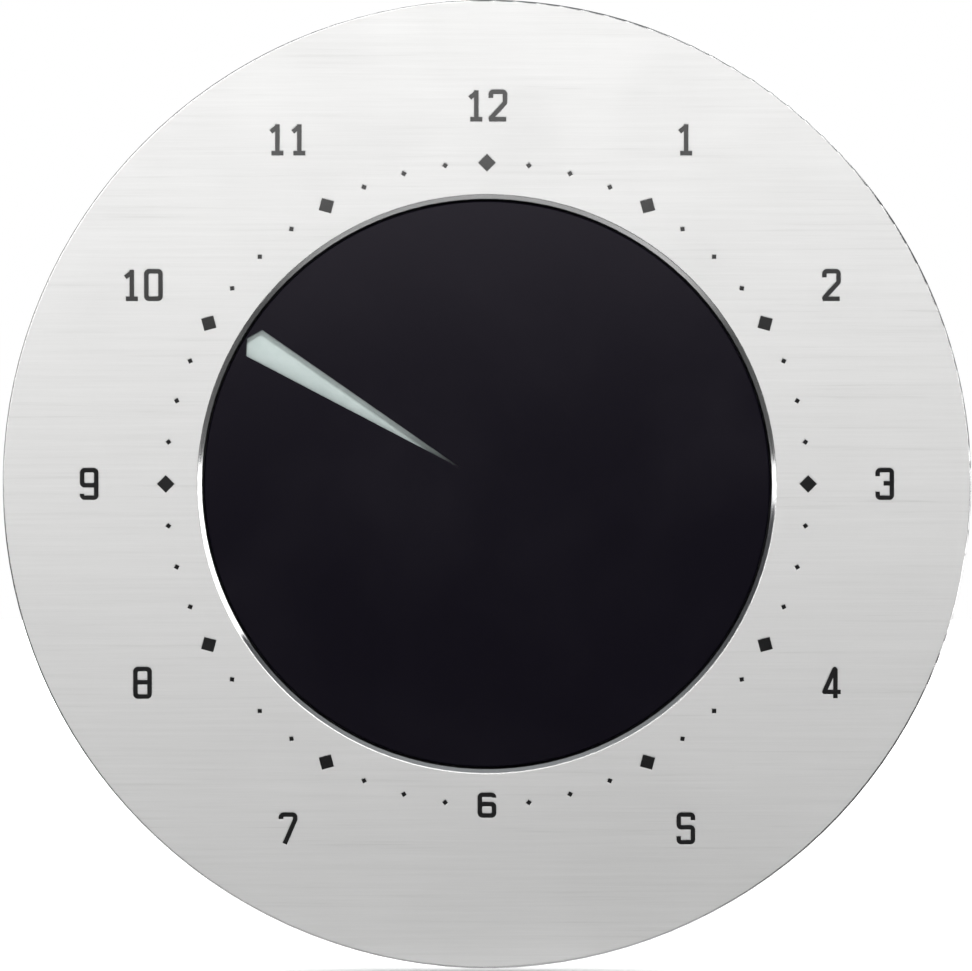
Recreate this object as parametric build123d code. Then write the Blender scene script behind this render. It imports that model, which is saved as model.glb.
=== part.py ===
"""Electronic parking disc: a battery-driven hour dial that sticks behind a car's windscreen.

A brushed ring plate carries the hours, and a black disc with a luminous hand turns inside it.
A stepping motor moves the disc by one quarter of an hour at a time.

Row frame, in millimetres: the origin is the centre of the plate's front face, -Y points out of
the dial, +Z points to 12 o'clock and +X to 3 o'clock.
The parts are drawn as seen from the front, x to 3 o'clock and y to 12 o'clock, with a depth that
is measured backwards from the plate's front face. save() turns that drawing into the row frame.
"""

import math
import os

from build123d import *

# ---------------------------------------------------------------- driving dimensions
PLATE_DIAMETER = 100.0
CASE_DEPTH = 13.5
PLATE_THICKNESS = 1.0
PLATE_ROUND = 0.2  # rounded outer edge of the plate
BEVEL = 0.45  # polished bevel round the plate's window
TAPE_THICKNESS = 0.2

DISC_DIAMETER = 58.5
DISC_GAP = 0.2  # disc to plate
DISC_RECESS = 0.5  # disc's face behind the plate's face
DISC_THICKNESS = 1.5
DISC_CHAMFER = 0.15  # round its front edge
DISC_FLOOR_GAP = 0.6

HAND_HOUR = 10.04  # hour that the hand points at
HAND_TIP_RADIUS = 3.3  # slot's narrow end, from the disc's centre
HAND_RIM = 0.22  # disc left outside the slot's outer point
HAND_POINT = 0.9  # length of that shallow point
HAND_HALF_WIDTH = 1.6
HAND_TIP_HALF_WIDTH = 0.02
HAND_RECESS = 0.8  # insert's face behind the disc's face
HAND_FLANGE = 0.9  # insert's flange round the slot, behind the disc
HAND_FLANGE_THICKNESS = 0.5
HAND_FIT = 0.04  # between the insert and the slot

MARK_RING_OFFSET = 3.7  # marks' circle outside the window's edge
NUMERAL_RING_OFFSET = 7.9  # numerals' circle outside the marks' circle
TWELVE_RING_OFFSET = 5.9
MARK_SIDE = 1.28
DOT_SIDE = 0.42
INK_DEPTH = 0.08
NUMERAL_HEIGHT = 3.3
NUMERAL_WIDTH = 1.92
SIX_HEIGHT = 2.6
STROKE = 0.46
DIGIT_SPACE = 0.34

FLANGE_STEP = 0.5  # housing's edge inside the plate's edge
FLANGE_THICKNESS = 1.8
WELL_GAP = 0.8
WELL_WALL = 1.4
FLOOR_THICKNESS = 1.2
SHELL_STEP = 2.5  # rear shell's side inside the plate's edge
SHELL_DRAFT = 0.8
SHELL_WALL = 1.8
SHELL_ROUND = 2.6
REAR_WALL = 1.5
LIP = 1.2
LIP_HEIGHT = 1.6
FIT = 0.15  # sliding fit between mouldings

AXLE_RADIUS = 1.5
ARBOR_RADIUS = 0.5
RUN = 0.03  # radial running clearance of every pivot
BUSH_WALL = 1.4
DISC_TEETH = 48
DISC_MODULE = 0.4
IDLER_PINION_TEETH = 12
IDLER_WHEEL_TEETH = 60
MOTOR_MODULE = 0.3
MOTOR_TEETH = 10
GEAR_PLAY = 0.08
MOTOR_DIRECTION = 36.0  # of the motor from the idler, in degrees

CELL_DIAMETER = 24.5
CELL_THICKNESS = 5.0
CELL_GAP = 0.35
CUP_WALL = 1.0
CUP_FLOOR = 0.8
COVER_THICKNESS = 1.2
COVER_LAP = 3.0  # cover's edge outside the cell
COVER_GAP = 0.3
COVER_TURN = 40.0
LUG_LENGTH = 1.6
LUG_THICKNESS = 0.7
LUG_SWEEP = 30.0
SEAL_THICKNESS = 0.3
ARROW_DIRECTION = 60.0  # of the cover's arrow when it is locked
COIN_SLOT = (17.0, 1.9, 0.6)
CONTACT_THICKNESS = 0.25
CONTACT_WIDTH = 5.0
CONTACT_DIRECTION = 60.0  # of the positive contact from the cell
LEG_WIDTH = 1.6

BOARD_RADIUS = 36.0
BOARD_THICKNESS = 0.8
PARTS_ROOM = 1.9  # between the board and the rear wall
BUTTON_PLACE = (-21.0, 13.0)
BUTTON_RADIUS = 3.6
BUTTON_TRAVEL = 0.4
BUTTON_PROUD = 0.5
SWITCH_SIDE = 4.2
LABEL_PLACE = (0.0, 27.5)
LABEL_SIZE = (26.0, 13.0)
LABEL_SINK = 0.25
ARROW_DEPTH = 0.25

SCREW_RADIUS = 1.0
SCREW_HEAD_RADIUS = 2.1
SCREW_HEAD_HEIGHT = 1.3
SMALL_SCREW_RADIUS = 0.6
SMALL_HEAD_RADIUS = 1.25
SMALL_HEAD_HEIGHT = 0.45
POST_RADIUS = 2.7  # of the case screws' posts
PILLAR_RADIUS = 1.9
BOSS_RADIUS = 2.2
TOUCH = 0.02  # between solids that would otherwise share a curved face
GASKET_HEIGHT = 0.5
GASKET_HALF = 0.45  # half the gasket groove's width

# ---------------------------------------------------------------- depths, from the plate's face
plate_back = PLATE_THICKNESS
tape_back = plate_back + TAPE_THICKNESS
flange_back = tape_back + FLANGE_THICKNESS
disc_back = DISC_RECESS + DISC_THICKNESS
floor_front = disc_back + HAND_FLANGE_THICKNESS + DISC_FLOOR_GAP
floor_back = floor_front + FLOOR_THICKNESS
gear_front = floor_back + 0.5
gear_back = gear_front + 1.1
stator_front = gear_front + 0.2
stator_back = stator_front + 0.8
core_back = stator_back + 0.8
wheel_front = gear_back + 0.6
wheel_back = wheel_front + 0.7
bridge_front = wheel_back + 0.7
bridge_back = bridge_front + 0.8
rear_inner = CASE_DEPTH - REAR_WALL
board_back = rear_inner - PARTS_ROOM
board_front = board_back - BOARD_THICKNESS
cover_front = CASE_DEPTH - COVER_THICKNESS
lug_back = rear_inner - 0.1
lug_front = lug_back - LUG_THICKNESS
cell_back = cover_front - 0.05
cell_front = cell_back - CELL_THICKNESS
cup_floor_back = cell_front - CONTACT_THICKNESS
cup_floor_front = cup_floor_back - CUP_FLOOR
seal_front = lug_front - SEAL_THICKNESS
step_front = seal_front - CUP_FLOOR
button_flange_back = rear_inner - 0.05
button_flange_front = button_flange_back - 0.5
button_pin_front = button_flange_front - 0.15
switch_back = button_pin_front - BUTTON_TRAVEL - 0.1
boss_back = rear_inner - 1.2
screw_seat = rear_inner - 0.2

# ---------------------------------------------------------------- radii and places
plate_radius = PLATE_DIAMETER / 2
disc_radius = DISC_DIAMETER / 2
window_radius = disc_radius + DISC_GAP
mark_ring = window_radius + MARK_RING_OFFSET
numeral_ring = mark_ring + NUMERAL_RING_OFFSET
flange_radius = plate_radius - FLANGE_STEP
well_radius = disc_radius + WELL_GAP
shell_radius = plate_radius - SHELL_STEP
shell_inner = shell_radius - SHELL_WALL
bush_radius = AXLE_RADIUS + BUSH_WALL
disc_gear_tip = DISC_MODULE * (DISC_TEETH / 2 + 1)
idler_wheel_tip = MOTOR_MODULE * (IDLER_WHEEL_TEETH / 2 + 1)
cell_radius = CELL_DIAMETER / 2
cup_radius = cell_radius + CELL_GAP
cover_radius = cell_radius + COVER_LAP
lug_radius = cover_radius + LUG_LENGTH
step_radius = lug_radius + COVER_GAP
screw_ring = shell_inner - SCREW_HEAD_RADIUS - 1.6

CENTRE = (0.0, 0.0)
idler_place = (0.0, DISC_MODULE * (DISC_TEETH + IDLER_PINION_TEETH) / 2)
motor_distance = MOTOR_MODULE * (IDLER_WHEEL_TEETH + MOTOR_TEETH) / 2
cell_place = (0.0, -(disc_gear_tip + 1.6 + cup_radius + CUP_WALL))


def along(degrees, distance, start=CENTRE):
    """The point that far from start, in that direction."""
    angle = math.radians(degrees)
    return (start[0] + distance * math.cos(angle), start[1] + distance * math.sin(angle))


motor_place = along(MOTOR_DIRECTION, motor_distance, idler_place)
CASE_SCREWS = [along(45 + 90 * quarter, screw_ring) for quarter in range(4)]
pillar_reach = disc_gear_tip + 3.1
PILLARS = [
    along(162, pillar_reach),
    along(0, pillar_reach),
    along(108, idler_wheel_tip + 3.8, idler_place),
]
BOARD_BOSSES = [along(108, 7.2, PILLARS[2]), along(191, 31.5), along(-7, 31.5)]
STATOR_HALF = 11.0
ROTOR_HOLE = 2.0  # radius of the stator's hole round the rotor
COIL_OFFSET = 6.4  # coil's axis from the motor
COIL_SCREW_OFFSET = STATOR_HALF - 1.8  # along the coil
WINDING_RADIUS = 1.65
CORE_WIDTH = 1.6
BOBBIN_HALF = STATOR_HALF - 3.8
BOBBIN_TUBE = 1.2  # radius
CHEEK = 0.6  # thickness of the bobbin's ends
PIN_RADIUS = 0.2
negative_end = cell_place[1] + step_radius + CUP_WALL + 2.0
positive_end = step_radius + CUP_WALL + 2.2  # from the cell's axis


# ---------------------------------------------------------------- drawing helpers
def slab(sketch, front, back):
    """The sketch as a plate between two depths."""
    return Pos(0, 0, -back) * extrude(sketch, back - front)


def at(place, shape):
    return Pos(place[0], place[1], 0) * shape


def round_bar(radius, front, back, place=CENTRE):
    return slab(at(place, Circle(radius)), front, back)


def tube(outer, inner, front, back, place=CENTRE):
    return slab(at(place, Circle(outer) - Circle(inner)), front, back)


def turned(*profile, place=CENTRE):
    """A profile of (radius, depth) corners, turned about an axis along the depth."""
    face = make_face(Polyline([(radius, -depth) for radius, depth in profile], close=True))
    return at(place, revolve(Plane.XZ * face, Axis.Z))


def outline(points):
    return make_face(Polyline(points, close=True))


def sector(inner, outer, middle, sweep):
    """A piece of a ring, sweep degrees wide about the middle direction."""
    start, end = math.radians(middle - sweep / 2), math.radians(middle + sweep / 2)
    far = outer * 1.5
    wedge = outline(
        [
            (0, 0),
            (far * math.cos(start), far * math.sin(start)),
            (far * math.cos(end), far * math.sin(end)),
        ]
    )
    return (Circle(outer) - Circle(inner)) & wedge


def solids_of(*shapes):
    return [solid for shape in shapes for solid in shape.solids()]


def save(name, *shapes):
    """Writes the shapes, turned into the row frame, as one node."""
    turned_up = [Rot(90, 0, 0) * solid for solid in solids_of(*shapes)]
    export_step(Compound(turned_up), f"parts/{name}.step")


# ---------------------------------------------------------------- gears
def involute(angle):
    return math.tan(angle) - angle


def gear_face(teeth, module, first_tooth):
    """A spur gear's outline, with first_tooth the direction of one tooth, in degrees."""
    pressure = math.radians(20)
    pitch = module * teeth / 2
    base = pitch * math.cos(pressure)
    root, tip = pitch - module * 1.25, pitch + module
    half = math.pi / (2 * teeth) - GEAR_PLAY / (2 * pitch)

    def half_angle(radius):
        grown = involute(math.acos(base / radius)) if radius > base else 0.0
        return half + involute(pressure) - grown

    radii = sorted({root, max(root, base), pitch, tip})
    points = []
    for tooth in range(teeth):
        middle = math.radians(first_tooth) + 2 * math.pi * tooth / teeth
        flank = [(radius, middle - half_angle(radius)) for radius in radii]
        flank += [(radius, middle + half_angle(radius)) for radius in reversed(radii)]
        points += [(radius * math.cos(angle), radius * math.sin(angle)) for radius, angle in flank]
    return outline(points)


def windows(count, ring, radius, first=0.0):
    """Round lightening holes of a wheel."""
    holes = [at(along(first + 360 * hole / count, ring), Circle(radius)) for hole in range(count)]
    return Sketch() + holes


# ---------------------------------------------------------------- dial markings
# Each digit is a list of pen strokes in a box that is one wide and one high.
DIGITS = {
    "0": [[(0, 0), (1, 0), (1, 1), (0, 1), (0, 0)]],
    "1": [[(0.06, 0.78), (0.5, 0.96)], [(0.52, 0), (0.52, 1.05)], [(0.1, 0), (0.94, 0)]],
    "2": [[(0, 0.78), (0, 1), (1, 1), (1, 0.6), (0, 0.04)], [(-0.12, 0), (1.08, 0)]],
    "3": [[(0, 0.78), (0, 1), (1, 1), (1, 0), (0, 0), (0, 0.22)], [(0.42, 0.52), (1, 0.52)]],
    "4": [[(0.78, -0.06), (0.78, 1.0)], [(0.72, 1.0), (0.0, 0.17)], [(0.0, 0.17), (1.16, 0.17)]],
    "5": [[(1, 0.8), (1, 1), (0, 1), (0, 0.54), (1, 0.54), (1, 0), (0, 0), (0, 0.22)]],
    "6": [[(1, 0.86), (1, 1), (0, 1), (0, 0.3)], [(0, 0), (1, 0), (1, 0.55), (0, 0.55), (0, 0)]],
    "7": [[(0, 0.84), (0, 1), (1, 1), (1, 0.8)], [(1, 0.82), (0.26, -0.06)]],
    "8": [[(0, 0), (1, 0), (1, 1), (0, 1), (0, 0)], [(0, 0.52), (1, 0.52)]],
    "9": [[(0, 0.14), (0, 0), (1, 0), (1, 0.7)], [(0, 0.45), (1, 0.45), (1, 1), (0, 1), (0, 0.45)]],
}
PEN_ROUND = 0.26
# Where two strokes meet at a sharp angle the pen leaves a round joint.
JOINTS = {"2": [(0, 0.03)], "4": [(0.74, 1.0), (0.0, 0.17)], "7": [(1, 0.81)]}


def frame_sketch(points):
    """A stroke that closes on itself: a rounded frame along the points' box."""
    (left, right), (low, high) = [(min(values), max(values)) for values in zip(*points)]
    wide, tall = right - left, high - low
    frame = RectangleRounded(wide + STROKE, tall + STROKE, PEN_ROUND + STROKE / 2)
    frame -= RectangleRounded(wide - STROKE, tall - STROKE, PEN_ROUND / 2)
    return Pos((left + right) / 2, (low + high) / 2) * frame


def digit_sketch(digit, height):
    wide, high = NUMERAL_WIDTH - STROKE, height - STROKE

    def placed(points):
        return [((x - 0.5) * wide, (y - 0.5) * high) for x, y in points]

    drawn = Sketch()
    for stroke in DIGITS[digit]:
        points = placed(stroke)
        if stroke[0] == stroke[-1]:
            drawn += frame_sketch(points)
        elif len(points) == 2:
            drawn += trace(Line(*points), STROKE)
        else:
            drawn += trace(FilletPolyline(points, radius=PEN_ROUND), STROKE)
    for joint in placed(JOINTS.get(digit, [])):
        drawn += Pos(*joint) * Circle(STROKE / 2)
    return drawn


def numeral_sketch(hour):
    height = SIX_HEIGHT if hour == 6 else NUMERAL_HEIGHT
    digits = str(hour)
    step = NUMERAL_WIDTH + DIGIT_SPACE
    start = -step * (len(digits) - 1) / 2
    return [Pos(start + step * i, 0) * digit_sketch(d, height) for i, d in enumerate(digits)]


def hour_place(hour):
    ring = {12: mark_ring + TWELVE_RING_OFFSET, 6: mark_ring}.get(hour, numeral_ring)
    return along(90 - 30 * hour, ring)


def diamond(side, direction):
    return at(along(direction, mark_ring), Rot(0, 0, direction + 45) * Rectangle(side, side))


def marking_sketches():
    """Twelve numerals, eleven hour marks and three dots in each hour."""
    drawn = []
    for hour in range(1, 13):
        drawn += [at(hour_place(hour), digit) for digit in numeral_sketch(hour)]
        if hour != 6:
            drawn.append(diamond(MARK_SIDE, 90 - 30 * hour))
        for quarter in (1, 2, 3):
            drawn.append(diamond(DOT_SIDE, 90 - 30 * hour - 7.5 * quarter))
    return drawn


# ---------------------------------------------------------------- front: plate, tape, markings
def dial_plate_and_markings():
    markings = [slab(sketch, 0, INK_DEPTH) for sketch in marking_sketches()]
    plate = tube(plate_radius, window_radius, 0, PLATE_THICKNESS)
    front_edges = plate.edges().filter_by(GeomType.CIRCLE).group_by(Axis.Z)[-1]
    plate = fillet(front_edges.sort_by(SortBy.RADIUS)[-1], PLATE_ROUND)
    plate -= turned(
        (window_radius - 1, -0.1),
        (window_radius + BEVEL + 0.1, -0.1),
        (window_radius - 0.1, BEVEL + 0.1),
        (window_radius - 1, BEVEL + 0.1),
    )
    pockets = [slab(sketch, -0.1, INK_DEPTH) for sketch in marking_sketches()]
    return plate - pockets, markings


def plate_tape():
    return tube(flange_radius - 0.4, well_radius + 0.4, plate_back, tape_back)


# ---------------------------------------------------------------- turning disc and its hand
def hand_outline(grow=0.0):
    """The hand, drawn along +x and turned: a narrow inner end and a shallow outer point."""
    point = disc_radius - HAND_RIM
    half = [
        (HAND_TIP_RADIUS - grow * 3, HAND_TIP_HALF_WIDTH),
        (point - HAND_POINT, HAND_HALF_WIDTH + grow),
    ]
    points = half + [(point + min(grow, HAND_RIM / 2), 0)] + [(x, -y) for x, y in reversed(half)]
    return Rot(0, 0, 90 - 30 * HAND_HOUR) * outline(points)


def time_disc():
    disc = round_bar(disc_radius, DISC_RECESS, disc_back)
    rim = disc.edges().filter_by(GeomType.CIRCLE).group_by(Axis.Z)[-1]
    disc = chamfer(rim, DISC_CHAMFER)
    boss = round_bar(AXLE_RADIUS + 1.6, disc_back, floor_front - 0.12)
    stiffener = tube(disc_radius - 0.4, disc_radius - 1.6, disc_back, disc_back + 0.35)
    stiffener -= slab(hand_outline(HAND_FLANGE + 0.3), disc_back, disc_back + 0.35)
    disc = disc + boss + stiffener
    disc -= slab(hand_outline(), DISC_RECESS - 1, disc_back + 1)
    disc -= round_bar(AXLE_RADIUS + TOUCH, DISC_RECESS + 0.9, floor_front)
    return disc


def luminous_hand():
    """A glowing insert that fills the slot from behind and is glued by its flange."""
    floor_depth = DISC_RECESS + HAND_RECESS
    core = slab(hand_outline(-HAND_FIT), floor_depth, disc_back + 0.1)
    flange = hand_outline(HAND_FLANGE) - Circle(AXLE_RADIUS + 1.8)
    flange &= Circle(disc_radius - 0.1)
    return core + slab(flange, disc_back, disc_back + HAND_FLANGE_THICKNESS)


def disc_axle():
    front, back = DISC_RECESS + 0.95, bridge_back + 0.2
    axle = round_bar(AXLE_RADIUS, front, back)
    return chamfer(axle.edges().filter_by(GeomType.CIRCLE), 0.2)


def disc_gear():
    face = gear_face(DISC_TEETH, DISC_MODULE, 90)
    face -= windows(6, disc_gear_tip * 0.6, disc_gear_tip * 0.17, first=30)
    gear = slab(face, gear_front, gear_back)
    hub = round_bar(AXLE_RADIUS + 1.7, floor_back + 0.4, gear_back + 0.2)
    neck = idler_place[1] - idler_wheel_tip - 0.35
    hub += round_bar(neck, gear_back, bridge_front - 0.25)
    return gear + hub - round_bar(AXLE_RADIUS + TOUCH, 0, CASE_DEPTH)


def axle_bush():
    """Brass bush that the disc's axle turns in, pressed into the floor."""
    bore = AXLE_RADIUS + RUN
    return turned(
        (bore, floor_front),
        (bush_radius, floor_front),
        (bush_radius, floor_back),
        (bush_radius + 0.7, floor_back),
        (bush_radius + 0.7, floor_back + 0.3),
        (bore, floor_back + 0.3),
    )


# ---------------------------------------------------------------- gear train and motor
def idler_wheel():
    face = gear_face(IDLER_WHEEL_TEETH, MOTOR_MODULE, MOTOR_DIRECTION)
    face -= windows(5, idler_wheel_tip * 0.62, idler_wheel_tip * 0.19, first=54)
    wheel = slab(face, wheel_front, wheel_back) - round_bar(ARBOR_RADIUS + TOUCH, 0, CASE_DEPTH)
    return at(idler_place, wheel)


def idler_pinion():
    between = 180 / IDLER_PINION_TEETH
    face = gear_face(IDLER_PINION_TEETH, DISC_MODULE, -90 + between)
    pinion = slab(face, gear_front - 0.1, gear_back + 0.2)
    pinion += round_bar(ARBOR_RADIUS + 0.9, gear_back + 0.2, wheel_front)
    return at(idler_place, pinion - round_bar(ARBOR_RADIUS + TOUCH, 0, CASE_DEPTH))


def arbor(place):
    """A steel pin whose thin ends run in the floor and in the bridge."""
    pin = round_bar(ARBOR_RADIUS, floor_back - 0.6, bridge_back - 0.1)
    return at(place, chamfer(pin.edges().filter_by(GeomType.CIRCLE), 0.1))


def motor_pinion():
    toward_idler = MOTOR_DIRECTION + 180
    between = 180 / MOTOR_TEETH
    face = gear_face(MOTOR_TEETH, MOTOR_MODULE, toward_idler + between)
    pinion = slab(face, wheel_front - 0.1, wheel_back + 0.2)
    pinion += round_bar(ARBOR_RADIUS + 0.55, core_back - 0.5, wheel_front - 0.1)
    return at(motor_place, pinion - round_bar(ARBOR_RADIUS + TOUCH, 0, CASE_DEPTH))


def rotor_magnet():
    return tube(1.55, ARBOR_RADIUS + TOUCH, stator_front - 0.2, core_back - 0.5, motor_place)


def coil_frame(shape):
    """From a drawing whose x runs along the coil, with the motor at the origin."""
    return at(motor_place, Rot(0, 0, MOTOR_DIRECTION + 90) * shape)


def both_ends(reach, offset, shape):
    """The shape at two places that mirror each other along the coil."""
    return [Pos(side * reach, offset) * shape for side in (-1, 1)]


def coil_screw_holes():
    return both_ends(COIL_SCREW_OFFSET, -COIL_OFFSET, Circle(SMALL_SCREW_RADIUS + TOUCH))


def pin_circles(radius):
    """Where the winding's two pins stand, beside the bobbin's ends."""
    return both_ends(BOBBIN_HALF - CHEEK / 2, -COIL_OFFSET - WINDING_RADIUS - 0.75, Circle(radius))


def stator_plate():
    """Soft iron plate with the rotor's hole, two notches in it and narrow necks beside it."""
    bar = Pos(0, -0.2) * RectangleRounded(2 * STATOR_HALF, 5.2, 0.6)
    ear = RectangleRounded(3.6, COIL_OFFSET + 3.2, 0.6)
    face = bar + both_ends(COIL_SCREW_OFFSET, -COIL_OFFSET / 2, ear) - Circle(ROTOR_HOLE)
    face -= [Rot(0, 0, 35 + 180 * turn) * Pos(ROTOR_HOLE, 0) * Circle(0.3) for turn in (0, 1)]
    face -= [Pos(0, side * 3.0 - 0.2) * Circle(0.7) for side in (-1, 1)]
    return coil_frame(slab(face - coil_screw_holes(), stator_front, stator_back))


def coil_core():
    face = Pos(0, -COIL_OFFSET) * RectangleRounded(2 * STATOR_HALF, CORE_WIDTH, 0.3)
    face += both_ends(COIL_SCREW_OFFSET, -COIL_OFFSET, Circle(CORE_WIDTH))
    return coil_frame(slab(face - coil_screw_holes(), stator_back, core_back))


def across_coil(radius, start, end):
    """A round bar along the coil's axis, from start to end of it."""
    from_end = (Align.CENTER, Align.CENTER, Align.MIN)
    bar = Rot(0, 90, 0) * Cylinder(radius, end - start, align=from_end)
    return Pos(start, -COIL_OFFSET, -(stator_back + core_back) / 2) * bar


def core_hole():
    hole = Pos(0, -COIL_OFFSET) * Rectangle(3 * STATOR_HALF, CORE_WIDTH + 2 * TOUCH)
    return slab(hole, stator_back - TOUCH, core_back + TOUCH)


def coil_bobbin():
    """A tube with a cheek at each end, and a foot on each cheek for the winding's pin."""
    bobbin = across_coil(BOBBIN_TUBE, -BOBBIN_HALF, BOBBIN_HALF)
    for start in (-BOBBIN_HALF, BOBBIN_HALF - CHEEK):
        bobbin += across_coil(WINDING_RADIUS + 0.1, start, start + CHEEK)
    feet = both_ends(BOBBIN_HALF - CHEEK / 2, -COIL_OFFSET - WINDING_RADIUS, Rectangle(CHEEK, 2.2))
    bobbin += [slab(foot, stator_back - 0.2, core_back + 0.2) for foot in feet]
    holes = slab(Sketch() + pin_circles(PIN_RADIUS + 0.03), 0, CASE_DEPTH)
    return coil_frame(bobbin - core_hole() - holes)


def coil_winding():
    half = BOBBIN_HALF - CHEEK
    winding = across_coil(WINDING_RADIUS, -half, half)
    return coil_frame(winding - across_coil(BOBBIN_TUBE, -half - 1, half + 1))


def coil_pins():
    """Two tinned pins that carry the winding's ends to the board."""
    pins = pin_circles(PIN_RADIUS)
    return [coil_frame(slab(pin, stator_back - 0.1, board_back + 0.3)) for pin in pins]


def pin_holes():
    """The board's holes for those pins."""
    return coil_frame(slab(Sketch() + pin_circles(PIN_RADIUS + 0.04), 0, CASE_DEPTH))


def pillar_hull():
    circles = [at(place, Circle(3.0)) for place in [*PILLARS, motor_place]]
    return make_hull([edge for circle in circles for edge in circle.edges()])


def gear_bridge():
    """Rear plate of the gear train, on three pillars of the housing."""
    bridge = slab(pillar_hull(), bridge_front, bridge_back)
    bridge -= slab(at(along(MOTOR_DIRECTION - 62, 6.0, idler_place), Circle(2.6)), 0, CASE_DEPTH)
    bridge -= slab(at(along(180, 6.0, idler_place), Circle(3.0)), 0, CASE_DEPTH)
    for place in (idler_place, motor_place):
        bridge += round_bar(ARBOR_RADIUS + 0.8, bridge_front - 0.25, bridge_front, place)
        bridge -= round_bar(ARBOR_RADIUS + RUN, 0, CASE_DEPTH, place)
    bridge -= round_bar(AXLE_RADIUS + RUN, 0, CASE_DEPTH)
    for place in PILLARS:
        bridge -= round_bar(SMALL_SCREW_RADIUS + 0.1, 0, CASE_DEPTH, place)
    return bridge


# ---------------------------------------------------------------- screws
def cross_slot(radius, depth_from, depth_to, width):
    cross = Rectangle(2 * radius, width) + Rectangle(width, 2 * radius)
    return slab(cross, depth_from, depth_to)


def screw(place, seat, length, radius, head_radius, head_height):
    """A pan-head screw driven from behind, with its head's underside at the seat's depth."""
    head = round_bar(head_radius, seat, seat + head_height)
    head = fillet(head.edges().filter_by(GeomType.CIRCLE).group_by(Axis.Z)[0], head_height * 0.5)
    shank = turned(
        (0, seat + head_height / 4),
        (radius, seat + head_height / 4),
        (radius, seat - length + radius),
        (radius * 0.3, seat - length),
        (0, seat - length),
    )
    slot = cross_slot(head_radius * 0.6, seat + head_height * 0.35, seat + head_height + 1, radius * 0.42)
    return at(place, head + shank - slot)


def small_screw(place, seat, length):
    return screw(place, seat, length, SMALL_SCREW_RADIUS, SMALL_HEAD_RADIUS, SMALL_HEAD_HEIGHT)


# ---------------------------------------------------------------- front housing
def coil_screw_place(side):
    spot = coil_frame(Pos(side * COIL_SCREW_OFFSET, -COIL_OFFSET) * Circle(1)).center()
    return (spot.X, spot.Y)


def posts():
    """Each post's place, radius, back, and its pilot hole's radius and depth."""
    small = SMALL_SCREW_RADIUS + TOUCH
    case_depth = boss_back - flange_back - 1.4
    case_pilot = SCREW_RADIUS + TOUCH
    made = [(place, POST_RADIUS, boss_back, case_pilot, case_depth) for place in CASE_SCREWS]
    made += [(place, PILLAR_RADIUS, bridge_front, small, 3.0) for place in PILLARS]
    made += [(place, BOSS_RADIUS, board_front, small, 3.0) for place in BOARD_BOSSES]
    made += [(coil_screw_place(side), 1.5, stator_front, small, 0.9) for side in (-1, 1)]
    return made


def front_housing():
    bush_seat = bush_radius + TOUCH
    body = turned(
        (bush_seat, floor_front),
        (well_radius, floor_front),
        (well_radius, tape_back),
        (flange_radius, tape_back),
        (flange_radius, flange_back),
        (well_radius + WELL_WALL, flange_back),
        (well_radius + WELL_WALL, floor_back),
        (bush_seat, floor_back),
    )
    lip_outer = shell_inner - FIT
    body += tube(lip_outer, lip_outer - LIP, flange_back, flange_back + LIP_HEIGHT)
    pilots = []
    for place, radius, back, pilot, depth in posts():
        body += round_bar(radius, flange_back, back, place)
        pilots.append(round_bar(pilot, back - depth, back + 1, place))
    for place in (idler_place, motor_place):
        body += round_bar(ARBOR_RADIUS + 1.0, floor_back, floor_back + 0.25, place)
        pilots.append(round_bar(ARBOR_RADIUS + RUN, floor_back - 0.7, CASE_DEPTH, place))
    body -= pilots
    body -= round_bar(well_radius, 0, floor_front)
    return body - seal_ring()


def seal_ring(shrink=0.0):
    """The gasket's groove, or the gasket when it is shrunk to fit."""
    middle, half = (shell_radius + shell_inner) / 2, GASKET_HALF - shrink
    return tube(middle + half, middle - half, flange_back - GASKET_HEIGHT, flange_back)


# ---------------------------------------------------------------- rear shell
def rear_shell():
    back_radius = shell_radius - SHELL_DRAFT
    outer = turned(
        (0, flange_back),
        (shell_radius, flange_back),
        (back_radius, CASE_DEPTH),
        (0, CASE_DEPTH),
    )
    outer = fillet(outer.edges().filter_by(GeomType.CIRCLE).group_by(Axis.Z)[0], SHELL_ROUND)
    inner = turned(
        (0, flange_back - 1),
        (shell_inner, flange_back - 1),
        (shell_inner, flange_back + LIP_HEIGHT + 0.3),
        (back_radius - SHELL_WALL, rear_inner),
        (0, rear_inner),
    )
    inner = fillet(inner.edges().filter_by(GeomType.CIRCLE).group_by(Axis.Z)[0], SHELL_ROUND - 1.2)
    shell = outer - inner
    shell += [round_bar(3.4, boss_back + 0.1, rear_inner + 0.2, place) for place in CASE_SCREWS]
    shell += battery_cup()
    collar = BUTTON_RADIUS + 1.6
    shell += tube(collar + 1.0, collar, rear_inner - 0.9, rear_inner + 0.1, BUTTON_PLACE)
    shell -= battery_room()
    for place in CASE_SCREWS:
        shell -= round_bar(SCREW_HEAD_RADIUS + 0.25, screw_seat, CASE_DEPTH + 1, place)
        shell -= round_bar(SCREW_RADIUS + 0.15, flange_back, CASE_DEPTH, place)
    shell -= round_bar(BUTTON_RADIUS + 0.2, rear_inner - 1, CASE_DEPTH + 1, BUTTON_PLACE)
    shell -= turned(
        (0, CASE_DEPTH - 0.4),
        (BUTTON_RADIUS + 1.2, CASE_DEPTH - 0.4),
        (BUTTON_RADIUS + 1.8, CASE_DEPTH + 0.2),
        (0, CASE_DEPTH + 0.2),
        place=BUTTON_PLACE,
    )
    shell -= slab(label_outline(FIT), CASE_DEPTH - LABEL_SINK, CASE_DEPTH + 1)
    shell -= [slab(mark, CASE_DEPTH - 0.2, CASE_DEPTH + 1) for mark in housing_marks()]
    return shell


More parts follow.
